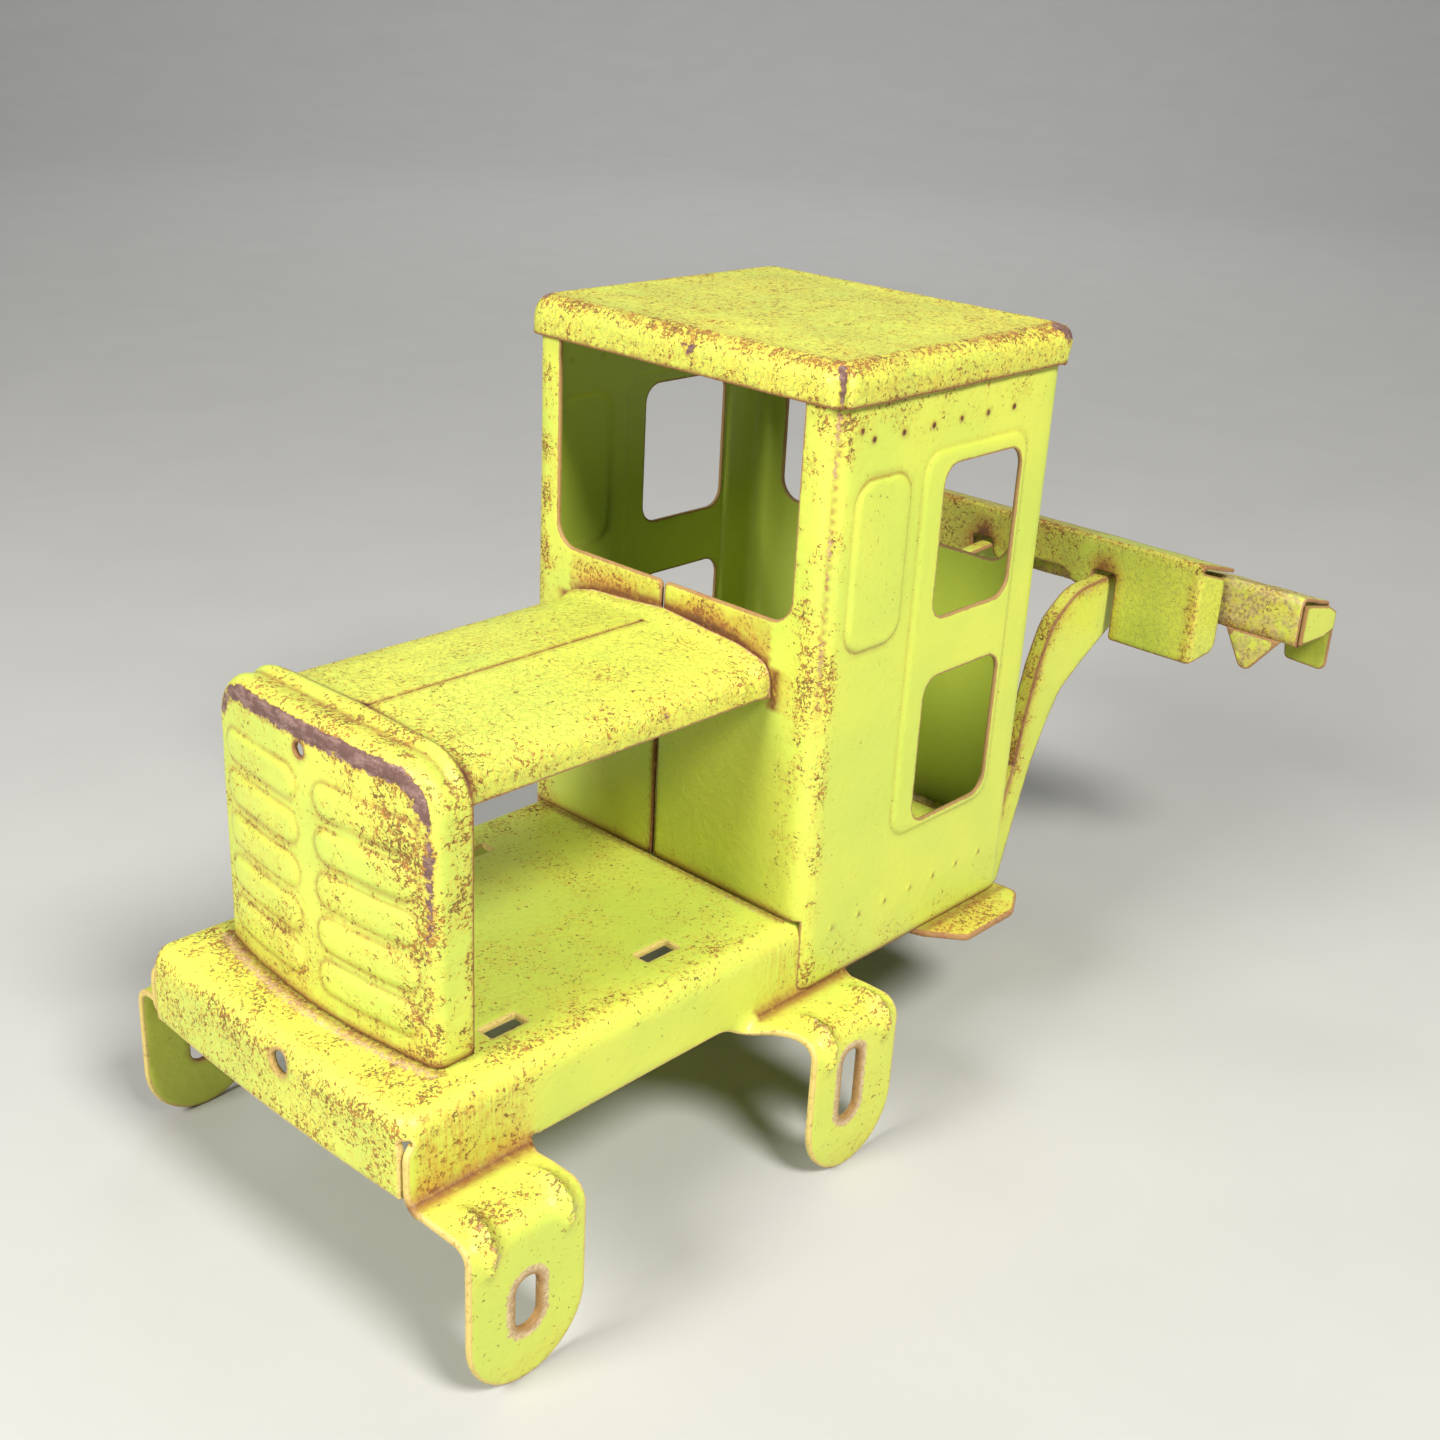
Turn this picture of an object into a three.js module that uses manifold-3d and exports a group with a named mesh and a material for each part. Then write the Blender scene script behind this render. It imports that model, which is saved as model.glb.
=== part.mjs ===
// Pressed-steel body of a toy hauler truck: an open-backed grille shell and a hood on a folded
// pan with four slotted axle hangers, a wrapped cab with a pressed roof, and behind the cab a
// two-armed yoke that carries a wide crossmember. Millimetres, +Z up, the grille towards -X.
import * as THREE from "three";
import { mergeVertices } from "three/addons/utils/BufferGeometryUtils.js";
import Module from "manifold-3d";

const wasm = await Module();
wasm.setup();

// ---------------------------------------------------------------------------------------------
// Driving dimensions. X runs back from the cab's front wall, Z up from the cab's lower edge.

const PAN_T = 1.4; // sheet of the pan, the hangers and the step plate
const SHEET = 0.9; // every other sheet
const GAP = 0.3; // clearance between neighbouring pieces
const EMBOSS = 0.6; // how far pressed panels stand out
const FAR = 300; // longer than anything that is cut
const ARC_STEP = 0.4; // radians of an arc per straight edge

const PAN = { front: -95.3, bow: 1, rear: 64, half: 38.7, top: 15.2, bottom: -0.5, bend: 4 };
const DECK_SLOTS = { x: [-64.7, -26.8], y: 26.9, halfLength: 4, halfWidth: 1.7 };
const FRONT_HOLE = { y: -4.8, z: 10.6, radius: 2.3 };
const HANGER = { width: 25.5, reach: 54, tip: -34, bend: 4 };
const HANGER_SLOT = { width: 5.2 };
const AXLES = [
  { place: "front", x: -82.1, slotX: -82.3, slotZ: -18.2, slotLength: 10.4 },
  { place: "rear", x: 3.1, slotX: 1.8, slotZ: -14.4, slotLength: 15.6 },
];
const GRILLE = { front: -85.3, bow: 3.4, rear: -74.3, half: 30.8, top: 70.9, side: 9, nose: 3.2, hole: 1.4 };
const PILL = { length: 24.5, height: 6.6, inner: 2.4, firstZ: 23.4, pitch: 8.5, rows: 5 };
const HOOD = { front: -73.9, rear: -0.3, half: 28, skirt: 60.6, shoulder: 66.6, crown: 69.6, lip: 1.1 };
const CAB = { length: 71.3, half: 40, corner: 4.6, top: 121.5 };
const SCREEN = { half: 32, frontSill: 75.9, rearSill: 73.5, radius: 5 };
const WINDOWS = { front: 32.6, rear: 57.8, radius: 4, rows: [[27.7, 59.3], [72, 103]] };
const DOOR = { front: 26.2, rear: 59.8, bottom: 25.8, top: 106.5, radius: 5 };
const QUARTER = { front: 6, rear: 22.5, bottom: 70.5, top: 104, radius: 5 };
const SEAM = { y: 1.15, width: 0.8 };
const ROOF = { out: 1.4, skirt: 118, top: 126, corner: 5, shoulder: 4.5 };
const STEP = { front: 40, rear: 72, half: 48.5, top: -0.8 };
const YOKE = { half: 19.5, strip: 4.3, base: 44, plateTop: 22, end: 146 };
const BEAM = { x: 136, top: 63.2, back: 152.5, half: 44.5, plateIn: 21.6, plateZ: 37.6 };
const REAR_BEAM = { x: 150.2, top: 57.2, back: 165.4, half: 64, bottom: 44.2 };

const REAR_END = REAR_BEAM.back + GAP + 2 * SHEET;
const BODY_MIDDLE = (PAN.front - PAN.bow + REAR_END) / 2;

// ---------------------------------------------------------------------------------------------
// Outlines and solids.

const mirrored = (points) => points.map(([u, v, r]) => [-u, v, r]).reverse();

// A closed outline through [u, v, radius] corners, each radius rounded by an arc.
function outline(corners) {
  const shape = new THREE.Shape();
  sampled(corners, true).forEach(({ u, v }, i) => (i ? shape.lineTo(u, v) : shape.moveTo(u, v)));
  return shape;
}

// Points along [u, v, radius] corners, each with the normal to the left of travel.
function sampled(corners, closed) {
  const out = [];
  const count = corners.length;
  corners.forEach(([u, v, r = 0], i) => {
    const here = new THREE.Vector2(u, v);
    const before = corners[(i + count - 1) % count];
    const after = corners[(i + 1) % count];
    const into = here.clone().sub(new THREE.Vector2(before[0], before[1])).normalize();
    const away = new THREE.Vector2(after[0], after[1]).sub(here).normalize();
    if (!closed && i === 0) into.copy(away);
    if (!closed && i === count - 1) away.copy(into);
    const turn = Math.atan2(into.cross(away), into.dot(away));
    const side = new THREE.Vector2(-into.y, into.x);
    const start = here.clone().addScaledVector(into, -r * Math.tan(Math.abs(turn) / 2));
    const centre = start.clone().addScaledVector(side, Math.sign(turn) * r);
    const steps = r > 0 && Math.abs(turn) > 0.01 ? Math.ceil(Math.abs(turn) / ARC_STEP) : 0;
    for (let k = 0; k <= steps; k++) {
      const angle = steps ? (turn * k) / steps : turn / 2;
      const n = side.clone().rotateAround(new THREE.Vector2(), angle);
      const p = steps ? centre.clone().addScaledVector(n, -Math.sign(turn) * r) : here;
      const mitre = steps ? 1 : 1 / Math.cos(turn / 2);
      out.push({ u: p.x, v: p.y, nu: n.x * mitre, nv: n.y * mitre });
    }
  });
  return out;
}

// The section of a folded sheet: an open path given a thickness to the left of travel.
function folded(path, thickness) {
  const line = sampled(path, false);
  const shape = new THREE.Shape();
  line.forEach(({ u, v }, i) => (i ? shape.lineTo(u, v) : shape.moveTo(u, v)));
  line.reverse().forEach(({ u, v, nu, nv }) => shape.lineTo(u + nu * thickness, v + nv * thickness));
  return shape;
}

function rectangle(u0, u1, v0, v1, r = 0) {
  return outline([[u0, v0, r], [u1, v0, r], [u1, v1, r], [u0, v1, r]]);
}

// Points of a shallow bow that bulges towards -X, from y = half to y = -half.
function bow(front, sag, half, steps = 8) {
  const radius = (half * half + sag * sag) / (2 * sag);
  return Array.from({ length: steps + 1 }, (_, i) => {
    const y = half - (2 * half * i) / steps;
    return [front + radius - Math.sqrt(radius * radius - y * y), y];
  });
}

function solid(geometry) {
  const bare = geometry.clone();
  bare.deleteAttribute("normal");
  bare.deleteAttribute("uv");
  const merged = mergeVertices(bare, 1e-4);
  const vertProperties = Float32Array.from(merged.attributes.position.array);
  const triVerts = Uint32Array.from(merged.index.array);
  return new wasm.Manifold(new wasm.Mesh({ numProp: 3, vertProperties, triVerts }));
}

const PLANES = {
  plan: new THREE.Matrix4().set(1, 0, 0, 0, 0, 1, 0, 0, 0, 0, 1, 0, 0, 0, 0, 1), // x, y; up Z
  side: new THREE.Matrix4().set(1, 0, 0, 0, 0, 0, -1, 0, 0, 1, 0, 0, 0, 0, 0, 1), // x, z; along -Y
  front: new THREE.Matrix4().set(0, 0, 1, 0, 1, 0, 0, 0, 0, 1, 0, 0, 0, 0, 0, 1), // y, z; along X
};

// A prism on an outline drawn in one of the three views, between two stations.
function prism(view, shape, from, to) {
  const geometry = new THREE.ExtrudeGeometry(shape, { depth: to - from, bevelEnabled: false });
  geometry.translate(0, 0, view === "side" ? -to : from);
  return solid(geometry.applyMatrix4(PLANES[view]));
}

const box = (x0, x1, y0, y1, z0, z1) => prism("plan", rectangle(x0, x1, y0, y1), z0, z1);
const join = (pieces) => pieces.reduce((sum, piece) => sum.add(piece));
const cut = (body, tools) => tools.reduce((left, tool) => left.subtract(tool), body);
const drilled = (radius) => solid(new THREE.CylinderGeometry(radius, radius, 12, 18).rotateZ(Math.PI / 2));
const skin = (shape, half, side) =>
  prism("side", shape, side < 0 ? -half : half - SHEET, side < 0 ? SHEET - half : half);
const both = (make) => [make(-1), make(1)];

// ---------------------------------------------------------------------------------------------
// Pieces.

// The pan before it is hollowed: a tray with a bowed front and rounded upper edges.
function panBlock(inset) {
  const half = PAN.half - inset;
  const rear = inset ? PAN.rear + FAR : PAN.rear;
  const bottom = inset ? PAN.bottom - FAR : PAN.bottom;
  const top = PAN.top - inset;
  const bend = PAN.bend - inset;
  const front = bow(PAN.front - PAN.bow + inset, PAN.bow, half);
  const plan = outline([...front, [rear, -half], [rear, half]]);
  const ahead = PAN.front - PAN.bow + inset;
  const elevation = outline([[ahead, bottom], [rear, bottom], [rear, top], [ahead, top, bend]]);
  const section = outline([[-half, bottom], [half, bottom], [half, top, bend], [-half, top, bend]]);
  return prism("plan", plan, bottom, top)
    .intersect(prism("side", elevation, -half, half))
    .intersect(prism("front", section, ahead, rear));
}

// The teardrop hole and the slit that part the front apron from a side apron.
function cornerRelief(side) {
  const slit = rectangle(-0.4, 0.4, PAN.bottom - 5, PAN.top - 4);
  const drop = outline([[0, 6.5, 0.4], [2.2, 12.2, 1.3], [-2.2, 12.2, 1.3]]);
  const relief = join([slit, drop].map((shape) => prism("front", shape, -6, 6)));
  return relief.rotate([0, 0, side * -40]).translate([PAN.front + 0.6, side * (PAN.half - 0.8), 0]);
}

function deckPan() {
  const { x, y, halfLength, halfWidth } = DECK_SLOTS;
  const slots = x.flatMap((at) =>
    both((s) => box(at - halfLength, at + halfLength, s * y - halfWidth, s * y + halfWidth, 8, 20)),
  );
  const eyelet = drilled(FRONT_HOLE.radius).translate([PAN.front, FRONT_HOLE.y, FRONT_HOLE.z]);
  return cut(panBlock(0), [panBlock(PAN_T), ...slots, ...both(cornerRelief), eyelet]);
}

// One axle hanger: a flange out from the foot of the apron, folded down to a round-ended plate.
function hanger(axle, side) {
  const top = PAN.bottom - GAP;
  const inner = PAN.half - PAN_T;
  const path = [[inner, top], [HANGER.reach, top, HANGER.bend], [HANGER.reach, HANGER.tip - 1]];
  const section = folded(path.map(([y, z, r]) => [-y, z, r]), PAN_T);
  const radius = HANGER.width / 2;
  const left = axle.x - radius;
  const right = axle.x + radius;
  const round = radius - 0.01;
  const foot = HANGER.tip;
  const plate = outline([[left, top + 1], [left, foot, round], [right, foot, round], [right, top + 1]]);
  const halfSlot = HANGER_SLOT.width / 2;
  const low = axle.slotZ - axle.slotLength / 2;
  const slot = rectangle(
    axle.slotX - halfSlot,
    axle.slotX + halfSlot,
    low,
    low + axle.slotLength,
    halfSlot - 0.01,
  );
  const body = prism("front", section, left - 1, right + 1)
    .intersect(prism("side", plate, -FAR, FAR))
    .subtract(prism("side", slot, -FAR, FAR));
  return side < 0 ? body : body.mirror([0, 1, 0]);
}

// The grille shell before it is hollowed: bowed front, rounded shoulders and nose.
function grilleBlock(inset) {
  const half = GRILLE.half - inset;
  const rear = inset ? GRILLE.rear + 20 : GRILLE.rear;
  const foot = inset ? PAN.top - 20 : PAN.top + GAP;
  const top = GRILLE.top - inset;
  const front = GRILLE.front + inset;
  const side = GRILLE.side - inset;
  const face = bow(front, GRILLE.bow, half);
  const ends = [0, face.length - 1];
  const rounded = face.map(([x, y], i) => [x, y, ends.includes(i) ? 1.8 : 0]);
  const plan = outline([...rounded, [rear, -half], [rear, half]]);
  const shoulder = top - 1.2;
  const shoulders = [[half, shoulder, side], [0, top], [-half, shoulder, side]];
  const section = outline([[-half, foot], [half, foot], ...shoulders]);
  const elevation = outline([[front, foot], [rear, foot], [rear, top], [front, top, GRILLE.nose - inset]]);
  return prism("plan", plan, foot, top)
    .intersect(prism("front", section, front, rear))
    .intersect(prism("side", elevation, -half, half));
}

// A raised pill in one of the grille's two columns.
function pill(side, row) {
  const middle = side * (PILL.inner + PILL.length / 2);
  const z = PILL.firstZ + row * PILL.pitch;
  const high = PILL.height / 2;
  const long = PILL.length / 2;
  const shape = rectangle(middle - long, middle + long, z - high, z + high, high - 0.01);
  return prism("front", shape, GRILLE.front - EMBOSS, GRILLE.front + 6);
}

function grilleShell() {
  const rows = Array.from({ length: PILL.rows }, (_, row) => row);
  const pills = join(rows.flatMap((row) => both((s) => pill(s, row))));
  const shell = grilleBlock(0).add(pills.intersect(grilleBlock(-EMBOSS)));
  return cut(shell, [grilleBlock(SHEET), drilled(GRILLE.hole).translate([GRILLE.front, 1, 64.6])]);
}

// The hood's section, grown outward by a lip's height and thickened inward.
function hoodSection(grow, thickness) {
  const edge = [
    [-HOOD.half - grow, HOOD.skirt],
    [0.3 - HOOD.half - grow, HOOD.shoulder - 0.6 + grow, 3.4 + grow],
    [-20, HOOD.shoulder + 1.3 + grow, 10],
  ];
  return folded([...edge, [0, HOOD.crown + grow], ...mirrored(edge)], -thickness);
}

function hood() {
  const sheet = prism("front", hoodSection(0, SHEET), HOOD.front, HOOD.rear);
  const lip = prism("front", hoodSection(HOOD.lip, HOOD.lip + SHEET / 2), HOOD.rear - 1.6, HOOD.rear);
  return sheet.add(lip);
}

const cabPlan = (inset) =>
  rectangle(inset, CAB.length - inset, inset - CAB.half, CAB.half - inset, CAB.corner - inset);

function cabShell() {
  const inside = prism("plan", cabPlan(SHEET), -1, CAB.top + 1);
  const walls = prism("plan", cabPlan(0), 0, CAB.top).subtract(inside);
  const proud = CAB.half + EMBOSS;
  const core = box(0, CAB.length, 0.3 - CAB.half, CAB.half - 0.3, 0, CAB.top);
  const panels = [DOOR, QUARTER].map(({ front, rear, bottom, top, radius }) =>
    prism("side", rectangle(front, rear, bottom, top, radius), -proud, proud).subtract(core),
  );
  const screen = (sill) => rectangle(-SCREEN.half, SCREEN.half, sill, CAB.top + 20, SCREEN.radius);
  const openings = [
    prism("front", screen(SCREEN.frontSill), -5, 5),
    prism("front", screen(SCREEN.rearSill), CAB.length - 5, CAB.length + 5),
    ...WINDOWS.rows.map(([low, high]) =>
      prism("side", rectangle(WINDOWS.front, WINDOWS.rear, low, high, WINDOWS.radius), -FAR, FAR),
    ),
    box(-5, 5, SEAM.y - SEAM.width / 2, SEAM.y + SEAM.width / 2, -5, SCREEN.frontSill + 5),
    box(-5, CAB.corner + 1, -PAN.half - GAP, PAN.half + GAP, -5, PAN.top + GAP),
  ];
  return cut(join([walls, ...panels]), openings);
}

function roofBlock(inset) {
  const front = inset - ROOF.out;
  const rear = CAB.length + ROOF.out - inset;
  const half = CAB.half + ROOF.out - inset;
  const low = inset ? ROOF.skirt - FAR : ROOF.skirt;
  const top = ROOF.top - inset;
  const shoulder = ROOF.shoulder - inset;
  const dome = (a, b) => outline([[a, low], [b, low], [b, top, shoulder], [a, top, shoulder]]);
  return prism("plan", rectangle(front, rear, -half, half, ROOF.corner - inset), low, top)
    .intersect(prism("side", dome(front, rear), -half, half))
    .intersect(prism("front", dome(-half, half), front, rear));
}

const roofCap = () => roofBlock(0).subtract(roofBlock(SHEET));

function stepPlate() {
  const { front, rear, half, top } = STEP;
  return prism("plan", rectangle(front, rear, -half, half, 6), top - PAN_T, top);
}

// The angle across the foot of the cab's rear wall.
function sillAngle() {
  const back = CAB.length - SHEET - GAP;
  const section = folded([[back, 0.4], [back, 14], [back - 4.6, 14]], SHEET);
  return prism("side", section, -34, 34);
}

// The upper and forward edge that the yoke's webs are folded along, from under the cab to its arms.
const YOKE_FOLD = [
  [YOKE.base, -2.5], [99.5, -2.5, 6], [104, 10], [106.8, 24.6], [109.8, 36.1, 8], [114.1, 46.1, 10],
  [123.6, 52.4, 14], [YOKE.end, 53.7],
];
const YOKE_HEEL = [
  [YOKE.end, 42.5], [138.5, 38.3], [129.5, 33.3], [120.5, 27.6], [115.6, 19.6], [111.1, 10.1], [107.9, 0.2],
  [104.6, -11.2], [102, -20, 3], [92, -19.5], [YOKE.base, -8],
];

function yoke() {
  const plate = prism("side", folded(YOKE_FOLD, -SHEET), -YOKE.half, YOKE.half);
  const inner = YOKE.half - YOKE.strip;
  const throat = prism("front", rectangle(-inner, inner, YOKE.plateTop, 80, 5), 99, YOKE.end + 5);
  const edge = sampled(YOKE_FOLD, false).map(({ u, v }) => [u, v]);
  const web = outline([...edge, ...YOKE_HEEL]);
  return join([plate.subtract(throat), ...both((s) => skin(web, YOKE.half, s))]);
}

// The front of the crossmember: a notched plate folded back along its top and at its ends.
function crossmemberFace() {
  const { x, top, back, half, plateIn, plateZ } = BEAM;
  const drop = (back - x) * 0.27;
  const section = folded([[x, plateZ - 5], [x, top, 1.6], [back, top - drop]], -SHEET);
  const left = [
    [-half, plateZ, 3],
    [-plateIn, plateZ, 1],
    [-plateIn, 54.5],
    [-15, 54.5],
    [-15, 49.6, 2.6],
    [-9, 49.6, 3],
    [-7, 52.6, 3],
  ];
  const face = outline([...left, ...mirrored(left), [half, top + 5], [-half, top + 5]]);
  const keep = prism("front", face, x - 1, x + 2).add(box(x + 2, back + 2, -half, half, 50, top + 5));
  const low = plateZ + 0.6;
  const cheek = outline([[x + 0.2, low], [x + 12, low, 3], [x + 12, 57.6], [x + 0.2, 61.2]]);
  return join([prism("side", section, -half, half).intersect(keep), ...both((s) => skin(cheek, half, s))]);
}

// The rear of the crossmember: a wider channel with a turned lower lip and hanging lugs.
function crossmemberBack() {
  const { x, top, back, half, bottom } = REAR_BEAM;
  const drop = (back - x) * 0.27;
  const path = [[x + 3, bottom], [x, bottom, 1], [x, top, 1.6], [back, top - drop, 1.6], [back, bottom]];
  const lugs = both((s) => {
    const lug = outline([[-60, bottom + 0.5], [-51.4, 33.6, 2.2], [-45.5, bottom + 0.5]]);
    const plate = prism("front", lug, x, x + SHEET);
    return s < 0 ? plate : plate.mirror([0, 1, 0]);
  });
  return join([prism("side", folded(path, -SHEET), -half, half), ...lugs]);
}

// An ear closing one end of the rear channel, with a foot that hangs below its back.
function endEar(side) {
  const { x, half, bottom } = REAR_BEAM;
  const outer = half + GAP + SHEET;
  const rear = REAR_END;
  const tab = outline([
    [x, bottom + 1.2],
    [x + 12, bottom + 0.6],
    [rear, 45.6],
    [rear, 50.2, 1.5],
    [x + 13, 52.4],
    [x, 55.4],
  ]);
  const foot = outline([[-outer, 34.6, 2], [10.8 - outer, 35.2, 1.5], [12 - outer, 43.4], [-outer, 49.4]]);
  const ear = skin(tab, outer, -1).add(prism("front", foot, rear - SHEET, rear));
  return side < 0 ? ear : ear.mirror([0, 1, 0]);
}

// ---------------------------------------------------------------------------------------------
// The assembly.

const truck = new THREE.Group();
truck.position.set(-BODY_MIDDLE, 0, -HANGER.tip);

function place(name, body, color, roughness = 0.55, metalness = 0.15) {
  const mesh = body.getMesh();
  const geometry = new THREE.BufferGeometry();
  geometry.setAttribute("position", new THREE.BufferAttribute(mesh.vertProperties, 3));
  geometry.setIndex(new THREE.BufferAttribute(mesh.triVerts, 1));
  geometry.computeVertexNormals();
  const material = new THREE.MeshStandardMaterial({ color, roughness, metalness });
  const piece = new THREE.Mesh(geometry, material);
  piece.name = name;
  truck.add(piece);
}

const LIME = 0xcfd84a;
const WORN = 0x8f7d5c;

place("deck_pan", deckPan(), LIME);
for (const axle of AXLES) {
  place("axle_hanger_" + axle.place + "_left", hanger(axle, -1), LIME);
  place("axle_hanger_" + axle.place + "_right", hanger(axle, 1), LIME);
}
place("grille_shell", grilleShell(), LIME);
place("hood", hood(), LIME);
place("cab_shell", cabShell(), LIME);
place("roof_cap", roofCap(), LIME);
place("step_plate", stepPlate(), LIME);
place("sill_angle", sillAngle(), WORN, 0.7, 0.3);
place("yoke", yoke(), LIME);
place("crossmember_face", crossmemberFace(), LIME);
place("crossmember_back", crossmemberBack(), WORN, 0.6, 0.35);
place("end_ear_left", endEar(-1), LIME);
place("end_ear_right", endEar(1), LIME);

export default truck;
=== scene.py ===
"""Looks of a toy truck body in pressed, worn, lime-painted steel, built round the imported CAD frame.

Every piece is one folded or drawn sheet. It is laid out flat with its holes, meshed there, folded into place, pressed
along its normal, and given its thickness. Lengths are millimetres from the foot of the cab's front wall; place() turns
them into the frame's metres."""

import math

import bpy
import numpy as np
from mathutils import Matrix, Vector
from mathutils.geometry import delaunay_2d_cdt


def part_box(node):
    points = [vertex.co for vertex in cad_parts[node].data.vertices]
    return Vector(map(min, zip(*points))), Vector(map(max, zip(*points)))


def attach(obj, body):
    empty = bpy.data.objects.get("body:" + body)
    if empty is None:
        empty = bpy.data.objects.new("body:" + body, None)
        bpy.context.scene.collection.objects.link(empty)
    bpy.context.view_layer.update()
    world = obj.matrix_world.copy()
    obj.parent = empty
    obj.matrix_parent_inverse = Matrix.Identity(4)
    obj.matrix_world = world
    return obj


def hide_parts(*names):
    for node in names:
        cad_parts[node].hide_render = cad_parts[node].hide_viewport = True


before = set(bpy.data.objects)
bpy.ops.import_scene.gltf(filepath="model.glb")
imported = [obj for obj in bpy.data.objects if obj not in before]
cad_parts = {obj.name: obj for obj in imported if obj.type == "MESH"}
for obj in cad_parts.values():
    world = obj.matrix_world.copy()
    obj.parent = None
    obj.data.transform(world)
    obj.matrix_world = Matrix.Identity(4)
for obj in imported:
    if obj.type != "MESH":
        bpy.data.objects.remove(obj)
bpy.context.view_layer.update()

ORIGIN = np.array(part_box("cab_shell")[0]) * (1000, 0, 1000)  # the foot of the cab's front wall, on the centre plane

SHEET, PAN_SHEET = 0.9, 1.4  # how thick the sheets are
QUARTER_TURN, FULL_TURN = math.pi / 2, 2 * math.pi
ARC_STEP, PATH_STEP = 0.16, 0.6  # how finely a rounded corner (radians) and a path are cut up
SHARP = math.radians(38)  # an edge that turns more than this is shaded sharp


def place(points):
    return (points + ORIGIN) / 1000


# --- Plane geometry.


def rounded(corners, closed=True):
    """Points along (u, v, radius) corners, each radius rounded by an arc."""
    out, count = [], len(corners)
    for i, corner in enumerate(corners):
        here, r = np.array(corner[:2], float), corner[2] if len(corner) > 2 else 0
        if r == 0 or (not closed and i in (0, count - 1)):
            out.append(here)
            continue
        into = here - np.array(corners[i - 1][:2], float)
        away = np.array(corners[(i + 1) % count][:2], float) - here
        into, away = into / np.linalg.norm(into), away / np.linalg.norm(away)
        turn = math.atan2(into[0] * away[1] - into[1] * away[0], into @ away)
        if abs(turn) < 0.01:
            out.append(here)
            continue
        start = here - into * r * math.tan(abs(turn) / 2)
        side = np.array([-into[1], into[0]]) * math.copysign(1, turn)
        centre = start + side * r
        arm, parts = start - centre, max(3, math.ceil(abs(turn) / ARC_STEP))
        for k in range(parts + 1):
            cos, sin = math.cos(turn * k / parts), math.sin(turn * k / parts)
            out.append(centre + [arm[0] * cos - arm[1] * sin, arm[0] * sin + arm[1] * cos])
    return np.array(out)


def block(u0, u1, v0, v1, r=0):
    return [(u0, v0, r), (u1, v0, r), (u1, v1, r), (u0, v1, r)]


def subdivided(loop, step):
    out = []
    for a, b in zip(loop, np.roll(loop, -1, axis=0)):
        n = max(1, math.ceil(np.linalg.norm(b - a) / step))
        out += [a + (b - a) * k / n for k in range(n)]
    return np.array(out)


def circle(u, v, r, step):
    return [(u + r * math.cos(t), v + r * math.sin(t)) for t in np.arange(0, FULL_TURN, step)]


def traced(shape, step):
    return [tuple(p) for p in subdivided(rounded(shape), step)]


def turned(loop, anticlockwise):
    u, v = loop.T
    area = np.sum(u * np.roll(v, -1) - v * np.roll(u, -1))
    return loop if (area > 0) == anticlockwise else loop[::-1]


def inwards(loop):
    """Unit normals to the left of travel."""
    ahead = np.roll(loop, -1, axis=0) - loop
    ahead /= np.maximum(np.linalg.norm(ahead, axis=1), 1e-9)[:, None]
    mean = ahead + np.roll(ahead, 1, axis=0)
    mean /= np.maximum(np.linalg.norm(mean, axis=1), 1e-9)[:, None]
    return np.stack([-mean[:, 1], mean[:, 0]], 1)


def inside(points, loops):
    hit = np.zeros(len(points), bool)
    for loop in loops:
        for (u0, v0), (u1, v1) in zip(loop, np.roll(loop, -1, axis=0)):
            if v0 != v1:
                spans = (v0 > points[:, 1]) != (v1 > points[:, 1])
                hit ^= spans & (points[:, 0] < (u1 - u0) * (points[:, 1] - v0) / (v1 - v0) + u0)
    return hit


def nearest(points, targets):
    """Distance from each point to the closest target point."""
    out = np.full(len(points), 1e9)
    for k in range(0, len(targets), 64):
        d = points[:, None] - targets[None, k : k + 64]
        out = np.minimum(out, np.sqrt((d**2).sum(2)).min(1))
    return out


def panel(u, v, u0, u1, v0, v1, r):
    """Signed distance to a rounded rectangle, negative inside."""
    a = abs(u - (u0 + u1) / 2) - (u1 - u0) / 2 + r
    b = abs(v - (v0 + v1) / 2) - (v1 - v0) / 2 + r
    return np.hypot(np.maximum(a, 0), np.maximum(b, 0)) + np.minimum(np.maximum(a, b), 0) - r


def ramp(x, low, high):
    t = np.clip((x - low) / (high - low), 0, 1)
    return t * t * (3 - 2 * t)


def fade(x, low, high):
    return 1 - ramp(x, low, high)


def hill(d, width):
    return np.exp(-((d / width) ** 2))


def spot(u, v, width):
    return hill(np.hypot(u, v), width)


def ripple(u, v, size, seed):
    """Smooth random waves of about that size, from -1 to 1."""
    rng = np.random.default_rng(seed)
    out = np.zeros(np.shape(u))
    for _ in range(9):
        angle, phase = rng.uniform(0, FULL_TURN, 2)
        k = FULL_TURN / (size * rng.uniform(0.7, 1.6))
        out = out + np.sin(k * (u * math.cos(angle) + v * math.sin(angle)) + phase)
    return out / 4.5


class Path:
    """A plane line with rounded corners, read by its length."""

    def __init__(self, corners):
        line = rounded(corners, closed=False)
        dense = [line[0]]
        for a, b in zip(line[:-1], line[1:]):
            n = max(1, math.ceil(np.linalg.norm(b - a) / PATH_STEP))
            dense += [a + (b - a) * k / n for k in range(1, n + 1)]
        self.points = np.array(dense)
        self.s = np.concatenate([[0], np.cumsum(np.linalg.norm(np.diff(self.points, axis=0), axis=1))])
        self.length = self.s[-1]

    def __call__(self, s):
        return tuple(np.interp(s, self.s, row) for row in self.points.T)

    def at(self, a, b):
        return self.s[np.argmin(np.hypot(self.points[:, 0] - a, self.points[:, 1] - b))]


def past(a, b):
    """How far a point is past two lines, and past the corner between them."""
    a, b = np.maximum(a, 0), np.maximum(b, 0)
    return a, b, np.hypot(a, b)


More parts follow.
